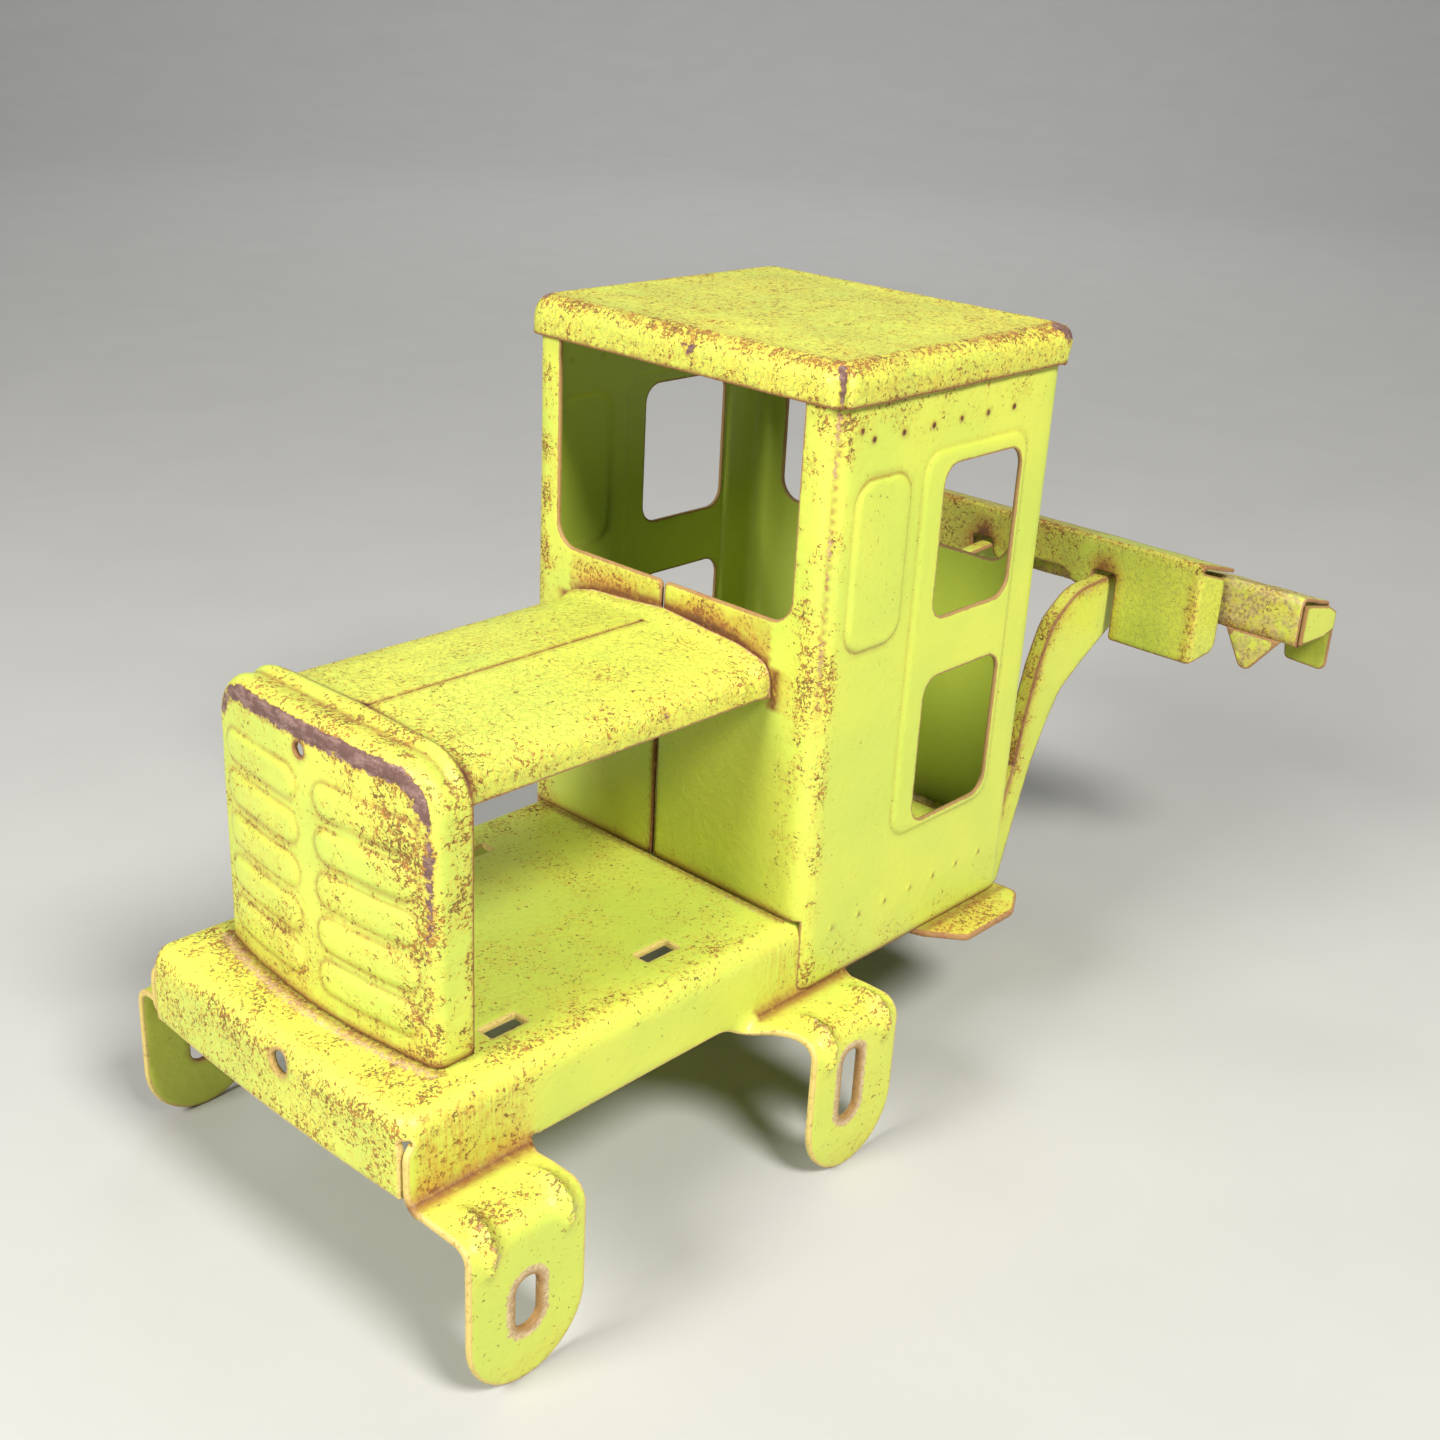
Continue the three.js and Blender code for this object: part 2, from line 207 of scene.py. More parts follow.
def drawn(reach, flat, bend):
    """How far across and how deep a sheet lies, reach past the edge of a flat top: it runs on flat, round the bend and
    straight down."""
    turn = np.clip((reach - flat) / bend, 0, QUARTER_TURN)
    across = np.minimum(reach, flat) + bend * np.sin(turn)
    deep = bend * (1 - np.cos(turn)) + np.maximum(reach - flat - bend * QUARTER_TURN, 0)
    return across, deep


# --- Sheets.

RIM = [(0.16, 0.1), (0.24, 0.32), (0.24, 0.68), (0.16, 0.9)]  # out and down across a cut edge, in thicknesses
INNER_SHARE = 0.25  # how much of the outer skin's wear the inner skin shows
# Each sheet's dark brown grime mark holds both grime and painted shade in creases, joins, recesses and beside raised
# parts.
MARKS = ("rust", "bare", "scuff", "stain", "streak", "grime")


def flat_sheet(axis, at):
    """The fold of a sheet that stays flat, across an axis."""
    return lambda u, v: np.insert(np.stack([u, v], 1), axis, at, axis=1)


def swept(path):
    """The fold of a sheet that follows an (x, z) path and runs straight across it."""

    def fold(s, y):
        x, z = path(s)
        return np.stack([x, y, z], 1)

    return fold


def sheet(outline, holes, fold, core, thick=SHEET, step=1.2, press=None, paint=None, rings=(), shade=1.0):
    """One folded sheet as (points, faces, marks). fold maps flat (u, v) to its outer skin, core is a point on the inner
    side, press is how far the skin stands out, paint gives marks, rings are finer points round small features, and
    shade is how much painted shade darkens the inner side's colour."""
    nominal = [turned(subdivided(rounded(outline), step), True)]
    nominal += [turned(subdivided(rounded(hole), step * 0.7), False) for hole in holes]
    trim = max(out for out, _ in RIM) * thick
    ring_gap, grid_gap, edge_gap = 0.3 * step, 0.45 * step, 0.55 * step
    loops = [loop + inwards(loop) * trim for loop in nominal]
    edge = np.concatenate(loops)

    low, high = edge.min(0), edge.max(0)
    us, vs = np.arange(low[0], high[0], step), np.arange(low[1], high[1], step * 0.87)
    grid = np.array([(u + step / 2 * (j % 2), v) for j, v in enumerate(vs) for u in us])
    fine = np.array(rings, float).reshape(-1, 2)
    if len(fine):
        fine = fine[inside(fine, loops)]
        fine = fine[nearest(fine, edge) > ring_gap]
        grid = grid[nearest(grid, fine) > grid_gap]
    grid = grid[inside(grid, loops)]
    grid = grid[nearest(grid, edge) > edge_gap]
    flat = np.concatenate([edge, grid, fine])

    runs, first = [], 0
    for loop in loops:
        index = np.arange(first, first + len(loop))
        runs.append(np.stack([index, np.roll(index, -1)], 1))
        first += len(loop)
    sides = np.concatenate(runs)
    made = delaunay_2d_cdt([Vector(p) for p in flat], [tuple(map(int, s)) for s in sides], [], 0, 1e-7)
    source = [orig[0] if orig else -1 for orig in made[3]]
    tris = np.array([[source[i] for i in face] for face in made[2]])
    tris = tris[(tris >= 0).all(1)]
    doubtful = (tris < len(edge)).all(1)
    keep = ~doubtful
    keep[doubtful] = inside(flat[tris[doubtful]].mean(1), loops)
    tris = tris[keep]
    a, b, c = (flat[tris[:, k]] for k in range(3))
    clockwise = (b[:, 0] - a[:, 0]) * (c[:, 1] - a[:, 1]) - (b[:, 1] - a[:, 1]) * (c[:, 0] - a[:, 0]) < 0
    tris[clockwise] = tris[clockwise][:, ::-1]

    u, v = flat.T
    skin = fold(u, v)
    flip = np.sum(normals(skin, tris) * (skin - np.array(core))) < 0
    if flip:
        tris = tris[:, ::-1]
    if press is not None:
        skin = skin + normals(skin, tris) * press(u, v)[:, None]
    up = normals(skin, tris)
    count, ring = len(flat), len(edge)
    rim_from = fold(*np.concatenate(nominal).T) - fold(*edge.T)
    out = rim_from / np.maximum(np.linalg.norm(rim_from, axis=1), 1e-9)[:, None]
    layers = [skin, skin - up * thick]
    layers += [skin[:ring] + out * a * thick - up[:ring] * b * thick for a, b in RIM]
    chain = [0] + [2 * count + k * ring for k in range(len(RIM))] + [count]
    walls = []
    for i, j in zip(chain[:-1], chain[1:]):
        p, q = sides[:, 0], sides[:, 1]
        quad = np.stack([q + i, p + i, p + j, q + j], 1)
        walls.append(quad[:, ::-1] if flip else quad)
    faces = tris.tolist() + (tris[:, ::-1] + count).tolist() + np.concatenate(walls).tolist()

    distance = np.concatenate([np.zeros(ring), nearest(flat[ring:], edge)])
    marks = dict.fromkeys(MARKS, np.zeros(count))
    if paint is not None:
        marks.update({k: np.broadcast_to(x, count) for k, x in paint(u, v, skin).items()})
    rows = {k: np.concatenate([x, x * INNER_SHARE] + [x[:ring]] * len(RIM)) for k, x in marks.items()}
    rows["edge"] = np.concatenate([distance, distance] + [np.zeros(ring)] * len(RIM))
    # The inner mark sets how much painted shade darkens the inner skin's colour.
    rows["inner"] = np.concatenate([np.zeros(count), np.full(count, shade), np.zeros(ring * len(RIM))])
    return np.concatenate(layers), faces, rows


def normals(points, tris):
    a, b, c = (points[tris[:, k]] for k in range(3))
    cross = np.cross(b - a, c - a)
    out = np.zeros_like(points)
    for k in range(3):
        np.add.at(out, tris[:, k], cross)
    return out / np.maximum(np.linalg.norm(out, axis=1), 1e-12)[:, None]


def added(name, data):
    thing = bpy.data.objects.new(name, data)
    bpy.context.scene.collection.objects.link(thing)
    return thing


def piece(name, sheets, material, nodes):
    """One object made of sheets, which stands for these CAD nodes."""
    points, faces, marks, first = [], [], {}, 0
    for xyz, polygons, rows in sheets:
        points.append(xyz)
        faces += [tuple(i + first for i in p) for p in polygons]
        for key, row in rows.items():
            marks.setdefault(key, []).append(row)
        first += len(xyz)
    mesh = bpy.data.meshes.new(name)
    mesh.from_pydata(place(np.concatenate(points)).tolist(), [], faces)
    mesh.shade_smooth()
    mesh.set_sharp_from_angle(angle=SHARP)
    for key, rows in marks.items():
        mesh.attributes.new(key, "FLOAT", "POINT").data.foreach_set("value", np.concatenate(rows).astype(np.float32))
    mesh.materials.append(material)
    thing = added(name, mesh)
    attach(thing, "root")
    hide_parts(*nodes)


# --- Materials.


class Fac:
    """A value in a node tree, which adds, subtracts and multiplies by nodes."""

    def __init__(self, nodes, socket):
        self.nodes, self.socket = nodes, socket

    __add__ = __radd__ = lambda self, other: self.nodes.math("ADD", self, other)
    __mul__ = __rmul__ = lambda self, other: self.nodes.math("MULTIPLY", self, other)
    __sub__ = lambda self, other: self.nodes.math("SUBTRACT", self, other)
    __rsub__ = lambda self, other: self.nodes.math("SUBTRACT", other, self)


class Nodes:
    """A material's node tree, with each kind of node as a short call."""

    def __init__(self, name):
        self.material = bpy.data.materials.new(name)
        self.material.use_nodes = True
        self.tree = self.material.node_tree
        self.shader = self.tree.nodes["Principled BSDF"]
        self.where = Fac(self, self.tree.nodes.new("ShaderNodeTexCoord").outputs["Object"])

    def put(self, socket, value):
        if isinstance(value, Fac):
            self.tree.links.new(value.socket, socket)
        else:
            socket.default_value = value

    def node(self, kind, inputs, output=0, **settings):
        node = self.tree.nodes.new(f"ShaderNode{kind}")
        for name, value in settings.items():
            setattr(node, name, value)
        for key, value in inputs.items():
            self.put(node.inputs[key], value)
        return Fac(self, node.outputs[output])

    def math(self, operation, a, b=0.5, clamp=False):
        return self.node("Math", {0: a, 1: b}, operation=operation, use_clamp=clamp)

    def mark(self, name):
        return self.node("Attribute", {}, "Fac", attribute_name=name)

    def ramp(self, value, low, high):
        inputs = {"Value": value, "From Min": low, "From Max": high}
        return self.node("MapRange", inputs, interpolation_type="SMOOTHSTEP")

    def noise(self, per_mm, detail=3.0, roughness=0.55, stretch=(1, 1, 1), shift=0.0):
        scale, move = [1000 * per_mm * s for s in stretch], (shift, shift * 1.7, shift * 0.6)
        where = self.node("Mapping", {"Vector": self.where, "Scale": scale, "Location": move})
        inputs = {"Vector": where, "Scale": 1, "Detail": detail, "Roughness": roughness}
        return self.node("TexNoise", inputs, "Fac")

    def mix(self, share, a, b):
        return self.node("Mix", {0: share, 6: a, 7: b}, 2, data_type="RGBA")


def linear(*srgb):
    return [(c / 255 / 12.92) if c / 255 <= 0.04045 else ((c / 255 + 0.055) / 1.055) ** 2.4 for c in srgb] + [1.0]


LIME = linear(210, 217, 86)
LIME_COOL = linear(196, 211, 86)
# The next colour is painted shade: the darker, greener colour given to the sheets' inner sides.
LIME_PAINTED_INSIDE_SHADE = linear(172, 188, 68)
CRAZE = linear(172, 176, 82)
OCHRE = linear(204, 172, 68)
ORANGE = linear(178, 116, 50)
RUST = linear(136, 88, 46)
RUST_DARK = linear(88, 56, 36)
BARE = linear(114, 85, 78)
BARE_LIGHT = linear(158, 128, 118)
CUT_EDGE = linear(158, 108, 80)
CUT_EDGE_PALE = linear(212, 184, 112)
SCUFF = linear(184, 144, 120)
SCUFF_PALE = linear(220, 192, 156)
PALE = linear(200, 174, 118)
GREY_GREEN = linear(150, 150, 92)
RELIEF = 0.00035  # metres that the paint's relief stands up


def enamel(name, crackle=0.0, worn=0.0, base=0.0, even=0.0, cut=CUT_EDGE):
    """Lime enamel that is flecked with rust, stained round the flecks, worn to bare steel where it is rubbed, and brown
    along its cut edges, with grime and painted shade in creases and joins, and painted shade on inner sides. crackle is
    a fine net of cracks, worn mottles the paint away, base is rust that is everywhere, even spreads the flecks out of
    their clusters, and cut is the colour of the cut edges."""
    n = Nodes(name)
    clouds = n.noise(0.03, 2, shift=3)
    tint = n.mix(n.ramp(clouds, 0.35, 0.65), LIME, LIME_COOL)
    # The inner skin turns darker and greener by its shade: painted shade on the sheets' inner sides.
    tint = n.mix(n.mark("inner"), tint, LIME_PAINTED_INSIDE_SHADE)

    # Flecks: winding cracks and grains, with ochre haloes, gathered in clumps.
    clumps = n.noise(0.11, 4, 0.65, shift=5)
    gather = even + n.ramp(clumps, 0.3, 0.66) * (1 - even)
    density = n.math("MULTIPLY", n.mark("rust") + base, gather, clamp=True)
    winding = n.math("ABSOLUTE", n.noise(0.62, 3, 0.6, shift=1) - 0.5)
    breaks = n.noise(1.1, 3, 0.6, shift=13)
    open_at = 0.66 - density * 0.26
    gap = n.ramp(breaks, open_at, open_at + 0.05)
    width = 0.008 + density * 0.05
    worm = (1 - n.ramp(winding, width, width + 0.012)) * gap * n.ramp(density, 0.0, 0.12)
    grains = n.noise(2.0, 3, 0.6, shift=15)
    level = 0.77 - density * 0.23
    fleck = n.math("MAXIMUM", worm, n.ramp(grains, level, level + 0.03))
    halo = n.ramp(density, 0.03, 0.7) * n.ramp(n.noise(1.0, 4, 0.65, shift=17), 0.42, 0.58)

    run = n.mark("streak") * n.ramp(n.noise(1.3, 3, 0.6, (1, 1, 0.1), shift=2), 0.42, 0.6)
    stain = n.math("MAXIMUM", n.mark("stain") * n.ramp(clumps, 0.25, 0.6), run)
    color = n.mix(halo * 0.5, tint, OCHRE)
    color = n.mix(stain * 0.75, color, n.mix(n.ramp(breaks, 0.45, 0.6), OCHRE, ORANGE))
    net = n.math("MULTIPLY", 1 - n.ramp(winding, 0.004, 0.05), crackle + density * 0.6, clamp=True)
    color = n.mix(net * 0.5, color, n.mix(n.ramp(density, 0.35, 0.9), CRAZE, OCHRE))
    fleck_tint = n.mix(n.ramp(n.noise(0.25, 2, shift=19), 0.4, 0.6), RUST, RUST_DARK)
    color = n.mix(fleck * 0.86, color, n.mix(n.ramp(grains, 0.36, 0.56), ORANGE, fleck_tint))

    # Wear: paint mottled away, rubbed to bare steel and scuffed.
    ragged = n.noise(0.7, 4, 0.65, shift=4)
    if worn:
        mottle = n.ramp(n.noise(0.5, 5, 0.7, shift=7), 0.36, 0.6) * worn
        color = n.mix(mottle, color, n.mix(n.ramp(breaks, 0.35, 0.65), PALE, n.mix(clouds, BARE_LIGHT, GREY_GREEN)))
    rub = n.mark("bare") + (ragged - 0.5) * 1.3
    bare = n.ramp(rub, 0.47, 0.54)
    color = n.mix(n.ramp(rub, 0.28, 0.47) * 0.55, color, ORANGE)
    # Bare steel streaked lighter along a stretched noise: partly scratch grain and partly a painted highlight.
    metal = n.mix(n.ramp(n.noise(0.7, 5, 0.75, (1, 0.35, 1), shift=6), 0.42, 0.66), BARE, BARE_LIGHT)
    color = n.mix(bare, color, metal)
    scuff = n.ramp(n.mark("scuff") + (breaks - 0.5) * 0.9, 0.34, 0.66)
    color = n.mix(scuff * 0.85, color, n.mix(n.ramp(grains, 0.4, 0.6), SCUFF, SCUFF_PALE))

    # Cut edges, and grime mixed with painted shade in creases, joins and recesses.
    lip = 1 - n.ramp(n.mark("edge") + (ragged - 0.5) * 0.7, 0.1, 0.42)
    color = n.mix(lip * 0.85, color, n.mix(n.ramp(breaks, 0.5, 0.9), cut, RUST))
    grime = n.mark("grime") * n.ramp(ragged, 0.12, 0.5)
    cover = n.math("MULTIPLY", grime, 0.95, clamp=True)
    n.put(n.shader.inputs["Base Color"], n.mix(cover, color, n.mix(n.ramp(grime, 0.7, 1.5), RUST, RUST_DARK)))

    damage = n.math("MAXIMUM", n.math("MAXIMUM", fleck, bare * 0.4), lip * 0.7)
    rough = 0.32 + damage * 0.36 + (halo + n.noise(0.3, 2, shift=11)) * 0.14
    n.put(n.shader.inputs["Roughness"], rough)
    n.put(n.shader.inputs["Metallic"], bare * 0.35)
    n.shader.inputs["Specular IOR Level"].default_value = 0.45

    peel = n.noise(0.55, 3, shift=12) * 0.7
    pits = (fleck + halo * -0.5) * -0.3 + net * -0.35
    relief = {"Height": peel + pits + bare * -0.6, "Distance": RELIEF, "Strength": 0.6}
    n.put(n.shader.inputs["Normal"], n.node("Bump", relief))
    return n.material


PAINT = enamel("lime_enamel", base=0.05)
PAINT_PAN = enamel("lime_enamel_pan", base=0.05, even=0.25, cut=CUT_EDGE_PALE)
PAINT_CRACKED = enamel("lime_enamel_cracked", crackle=0.8, base=0.08, even=0.5)
PAINT_WORN = enamel("lime_enamel_worn", worn=0.8, base=0.3)
PAINT_RUST = enamel("lime_enamel_rusted", worn=1.0, base=0.8)

# --- The cab's wrap: one sheet round four walls, its ends meeting at a seam in the front wall.

CAB_X, CAB_Y, CAB_TOP, CAB_CORNER = 71.3, 40.0, 121.5, 4.6
SEAM_Y, SEAM_HALF = 1.15, 0.35
DECK_TOP, DECK_Y = 15.2, 38.7
ON_DECK = DECK_TOP + 0.3  # where the sheets that stand on the deck end
WINDOW_X, WINDOW_ROWS = (32.6, 57.8), ((27.7, 59.3), (72.0, 103.0))
DOOR, QUARTER = (26.2, 59.8, 25.8, 106.5, 5.0), (6.0, 22.5, 70.5, 104.0, 5.0)
RIVETS = [(x, 111.4) for x in (9.9, 18.6, 27.7, 36.4, 44.9, 53.6)] + [(6.2, 113.4)]
STUDS = [(x, 11.7) for x in (9.5, 18.0, 26.5, 35.0, 43.0, 51.2, 59.6)]


def cab():
    corners = [(x, y, CAB_CORNER) for x, y in ((0, CAB_Y), (CAB_X, CAB_Y), (CAB_X, -CAB_Y), (0, -CAB_Y))]
    wrap = Path([(0, SEAM_Y + SEAM_HALF), *corners, (0, SEAM_Y - SEAM_HALF)])
    end = wrap.length
    notch = [wrap.at(1.2, side * DECK_Y) for side in (1, -1)]
    front = [wrap.at(0, side * 32) for side in (1, -1)]
    rear = [wrap.at(CAB_X, side * 32) for side in (1, -1)]
    foot, sill, rear_sill = ON_DECK, 75.9, 73.5
    outline = [
        (0, foot), (notch[0], foot), (notch[0], 0), (notch[1], 0), (notch[1], foot), (end, foot), (end, sill, 1.3),
        (front[1], sill, 5), (front[1], CAB_TOP, 1.5), (rear[1], CAB_TOP, 1.5), (rear[1], rear_sill, 5),
        (rear[0], rear_sill, 5), (rear[0], CAB_TOP, 1.5), (front[0], CAB_TOP, 1.5), (front[0], sill, 5), (0, sill, 1.3),
    ]
    holes, rings = [], []
    for side in (1, -1):
        along = lambda *xs, side=side: sorted(wrap.at(x, side * CAB_Y) for x in xs)
        holes += [block(*along(*WINDOW_X), low, high, 4) for low, high in WINDOW_ROWS]
        for x, z in RIVETS + STUDS:
            (s,) = along(x)
            rings += [(s, z)] + [p for r in (0.35, 0.7, 1.05) for p in circle(s, z, r, 0.7)]
        for x0, x1, z0, z1, r in (DOOR, QUARTER):
            a, b = along(x0, x1)
            for grow in (-1.0, -0.5, 0.0, 0.5):
                rings += traced(block(a - grow, b + grow, z0 - grow, z1 + grow, r + grow), 0.9)

    on_flank = lambda y: ramp(abs(y), CAB_Y - 2, CAB_Y - 0.1)

    def fold(s, z):
        x, y = wrap(s)
        return np.stack([x, y, z], 1)

    def press(s, z):
        x, y = wrap(s)
        out = 0.05 * ripple(s, z, 34, 4)
        flank = on_flank(y)
        for x0, x1, z0, z1, r in (DOOR, QUARTER):
            out += 0.6 * flank * fade(panel(x, z, x0, x1, z0, z1, r), -0.9, 0.1)
        for rx, rz in RIVETS + STUDS:
            out += 0.3 * flank * spot(x - rx, z - rz, 0.65)
        return np.minimum(out, 0.65)

    def paint(s, z, skin):
        x, y = wrap(s)
        flank = on_flank(y)
        face = ramp(-x, -1, 0)
        post = face * ramp(abs(y), 28, 34)
        corner = (x < CAB_CORNER) * (abs(y) > CAB_Y - CAB_CORNER - 1)
        ridge = abs(x - (CAB_Y - abs(y))) / 1.4
        high = ramp(z, 46, 74)
        scuff = corner * hill(ridge, 0.65) * (0.3 + 0.32 * high) * (0.85 + 0.4 * ripple(z, z * 0, 11, 8))
        bare = corner * hill(ridge, 0.8) * 0.42 * high * (0.8 + 0.5 * ripple(z, z * 0, 8, 7))
        rust = 0.1 + 0.5 * post + 0.5 * corner * (0.5 + 0.5 * high) + 0.45 * flank * fade(x, 2, 7)
        rust += 0.5 * flank * ramp(z, 106, 116) + 0.35 * flank * fade(z, 4, 14)
        rust -= 0.08 * flank * ramp(x, 20, 30)
        hood_z = HOOD_RIDGE - 1.7 * (abs(y) / 20) ** 2 - 0.9 * np.maximum(abs(y) - 20, 0) / 8
        over = abs(y) < 27.6
        seat = np.where(over, z - hood_z, np.where((z < 66) & (z > 58), (abs(y) - 28.2) * 1.2, 30))
        line = hill(seat - 1.1, 1.6)
        sill_band = face * over * ramp(z, 68.5, 70.5) * (1 - 0.55 * ramp(z, 73, 75.5))
        sill_band *= 0.75 + 0.4 * ripple(y, y * 0, 13, 9)
        rust += 0.9 * sill_band
        stain = 1.2 * face * hill(seat, 3.8) + 0.9 * sill_band + 0.6 * face * hill(z - DECK_TOP, 3)
        grime = face * (1.15 * line + 1.1 * hill(z - DECK_TOP, 1.3) + 1.1 * hill(y - SEAM_Y - 0.5, 0.7) * (z < 66))
        grime += 0.35 * sill_band * ramp(-y, 2, 12)
        grime += 0.9 * flank * fade(z, 0.3, 1.6) + 0.75 * corner * high * hill(ridge, 0.45)
        for x0, x1, z0, z1, r in (DOOR, QUARTER):
            rim = hill(panel(x, z, x0, x1, z0, z1, r) - 0.1, 0.4) * flank
            ends = ramp(abs(z - (z0 + z1) / 2), (z1 - z0) / 2 - 6, (z1 - z0) / 2)
            rust += 0.3 * rim
            grime += (0.22 + 0.5 * ends * (x0 < 10)) * rim
        for rx, rz in RIVETS:
            grime += 2.0 * flank * spot(x - rx, z - rz, 0.62)
        # Each stud's dark spot sits 0.4 mm to +X of it: painted shade on the bump's unlit side.
        for rx, rz in STUDS:
            grime += 1.3 * flank * spot(x - rx - 0.4, z - rz, 0.5)
        streak = 0.35 * flank * fade(x, 1, 5)
        return dict(rust=rust, bare=bare, scuff=scuff, stain=stain, grime=grime, streak=streak)

    return sheet(outline, holes, fold, (CAB_X / 2, 0, 60), press=press, paint=paint, rings=rings)


# --- The drawn roof, with a pinched front corner and a torn rear one.

ROOF_X, ROOF_Y = (-1.4, 72.7), 41.4
ROOF_TOP, ROOF_SKIRT, ROOF_BEND, ROOF_CORNER = 126.0, 118.0, 4.5, 5.0


def roof():
    mid_x = sum(ROOF_X) / 2
    half_x, half_y = (ROOF_X[1] - ROOF_X[0]) / 2 - ROOF_CORNER, ROOF_Y - ROOF_CORNER
    start = ROOF_CORNER - ROOF_BEND
    skirt = ROOF_BEND * QUARTER_TURN + ROOF_TOP - ROOF_SKIRT - ROOF_BEND
    reach = start + skirt
    far_x, far_y = half_x + reach, half_y + reach
    outline = [
        (-far_x, -far_y, reach - 0.1), (far_x - 8.6, -far_y), (far_x - 4.9, -far_y + 2.3), (far_x - 2.6, -far_y + 3.0),
        (far_x - 1.9, -far_y + 5.4), (far_x, -far_y + 9.4), (far_x, far_y, reach - 0.1), (-far_x, far_y, reach - 0.1),
    ]

    polar = lambda u, v: past(abs(u) - half_x, abs(v) - half_y)

    def fold(u, v):
        a, b, d = polar(u, v)
        across, deep = drawn(np.maximum(d - start, 0), 0, ROOF_BEND)
        share = np.where(d > start, (start + across) / np.maximum(d, 1e-9), 1)
        x = np.sign(u) * (np.minimum(abs(u), half_x) + a * share)
        y = np.sign(v) * (np.minimum(abs(v), half_y) + b * share)
        return np.stack([x + mid_x, y, ROOF_TOP - deep], 1)

    def near_corner(u, v, su, sv):
        a, b, d = polar(u, v)
        return np.where((u * su > 0) & (v * sv > 0) & (a > 0) & (b > 0), abs(a - b) / math.sqrt(2), 20), d

    def press(u, v):
        d = polar(u, v)[2]
        top = fade(d, 0, 3)
        edge = np.minimum(half_x + 1 - abs(u), half_y + 1 - abs(v))
        out = -top * (0.16 + 0.1 * ripple(u, v, 17, 21) + 0.05 * ripple(u, v, 6, 22)) - 0.35 * top * hill(edge - 5, 5)
        out -= 0.5 * top * spot(u + 8, v + 22, 9)
        wall = ramp(d, 3, 6)
        out -= wall * (0.12 + 0.12 * ripple(u, v, 11, 23))
        ridge, depth = near_corner(u, v, -1, -1)
        out += ramp(depth, 3, 6) * (0.55 * hill(ridge, 0.6) - 0.5 * hill(ridge - 1.5, 0.8))
        torn = spot(u - half_x - 2, v + half_y + 2, 4.5) * ramp(d, 3.0, 5.5)
        return out + 1.3 * torn + 0.4 * torn * ripple(u, v, 3.4, 24)

    def paint(u, v, skin):
        d = polar(u, v)[2]
        shoulder = hill(d - 2.6, 3.1)
        near_side = np.where((u < -half_x) | (v < -half_y), 1.0, 0.7)
        rust = 0.2 + 0.85 * shoulder * near_side + 0.35 * ramp(d, 6, 9)
        ridge, depth = near_corner(u, v, -1, -1)
        bare = 0.72 * hill(ridge, 1.1) * ramp(depth, 1.5, 4)
        bare += 0.42 * hill(d - 2.4, 1.5) * (0.6 + 0.5 * ripple(u, v, 9, 25))
        bare += 0.9 * spot(u - half_x - 1, v + half_y + 4, 2.9)
        bare += 0.62 * spot(u + half_x + 6.5, v + 4, 2.4)
        ridge2, depth2 = near_corner(u, v, -1, 1)
        bare += 0.45 * hill(ridge2, 3) * hill(depth2 - 3, 2)
        grime = 0.7 * ramp(d, reach - 0.9, reach - 0.2)
        grime += 0.5 * near_side * hill(d - 2.4, 1.7) * ramp(ripple(u, v, 3.2, 26), -0.1, 0.5)
        return dict(rust=rust, bare=bare, stain=0.3 * shoulder + 0.3 * ramp(d, 5, 8), grime=grime)

    return sheet(outline, [], fold, (mid_x, 0, 60), step=1.05, press=press, paint=paint)


# --- The drawn grille shell, with two columns of pressed pills.

GRILLE_X, GRILLE_REAR, GRILLE_Y, GRILLE_TOP, GRILLE_BOW = -85.3, -74.3, 30.8, 70.9, 3.4
PILLS = [(side, 23.4 + 8.5 * row) for row in range(5) for side in (-1, 1)]
PILL_INNER, PILL_OUTER, PILL_HALF = 2.4, 26.9, 3.3
PINHOLE = (1, 64.6)


def pill_distance(y, z):
    span, r = (PILL_INNER, PILL_OUTER), PILL_HALF
    return np.min([panel(y * side, z, *span, at - r, at + r, r) for side, at in PILLS], axis=0)


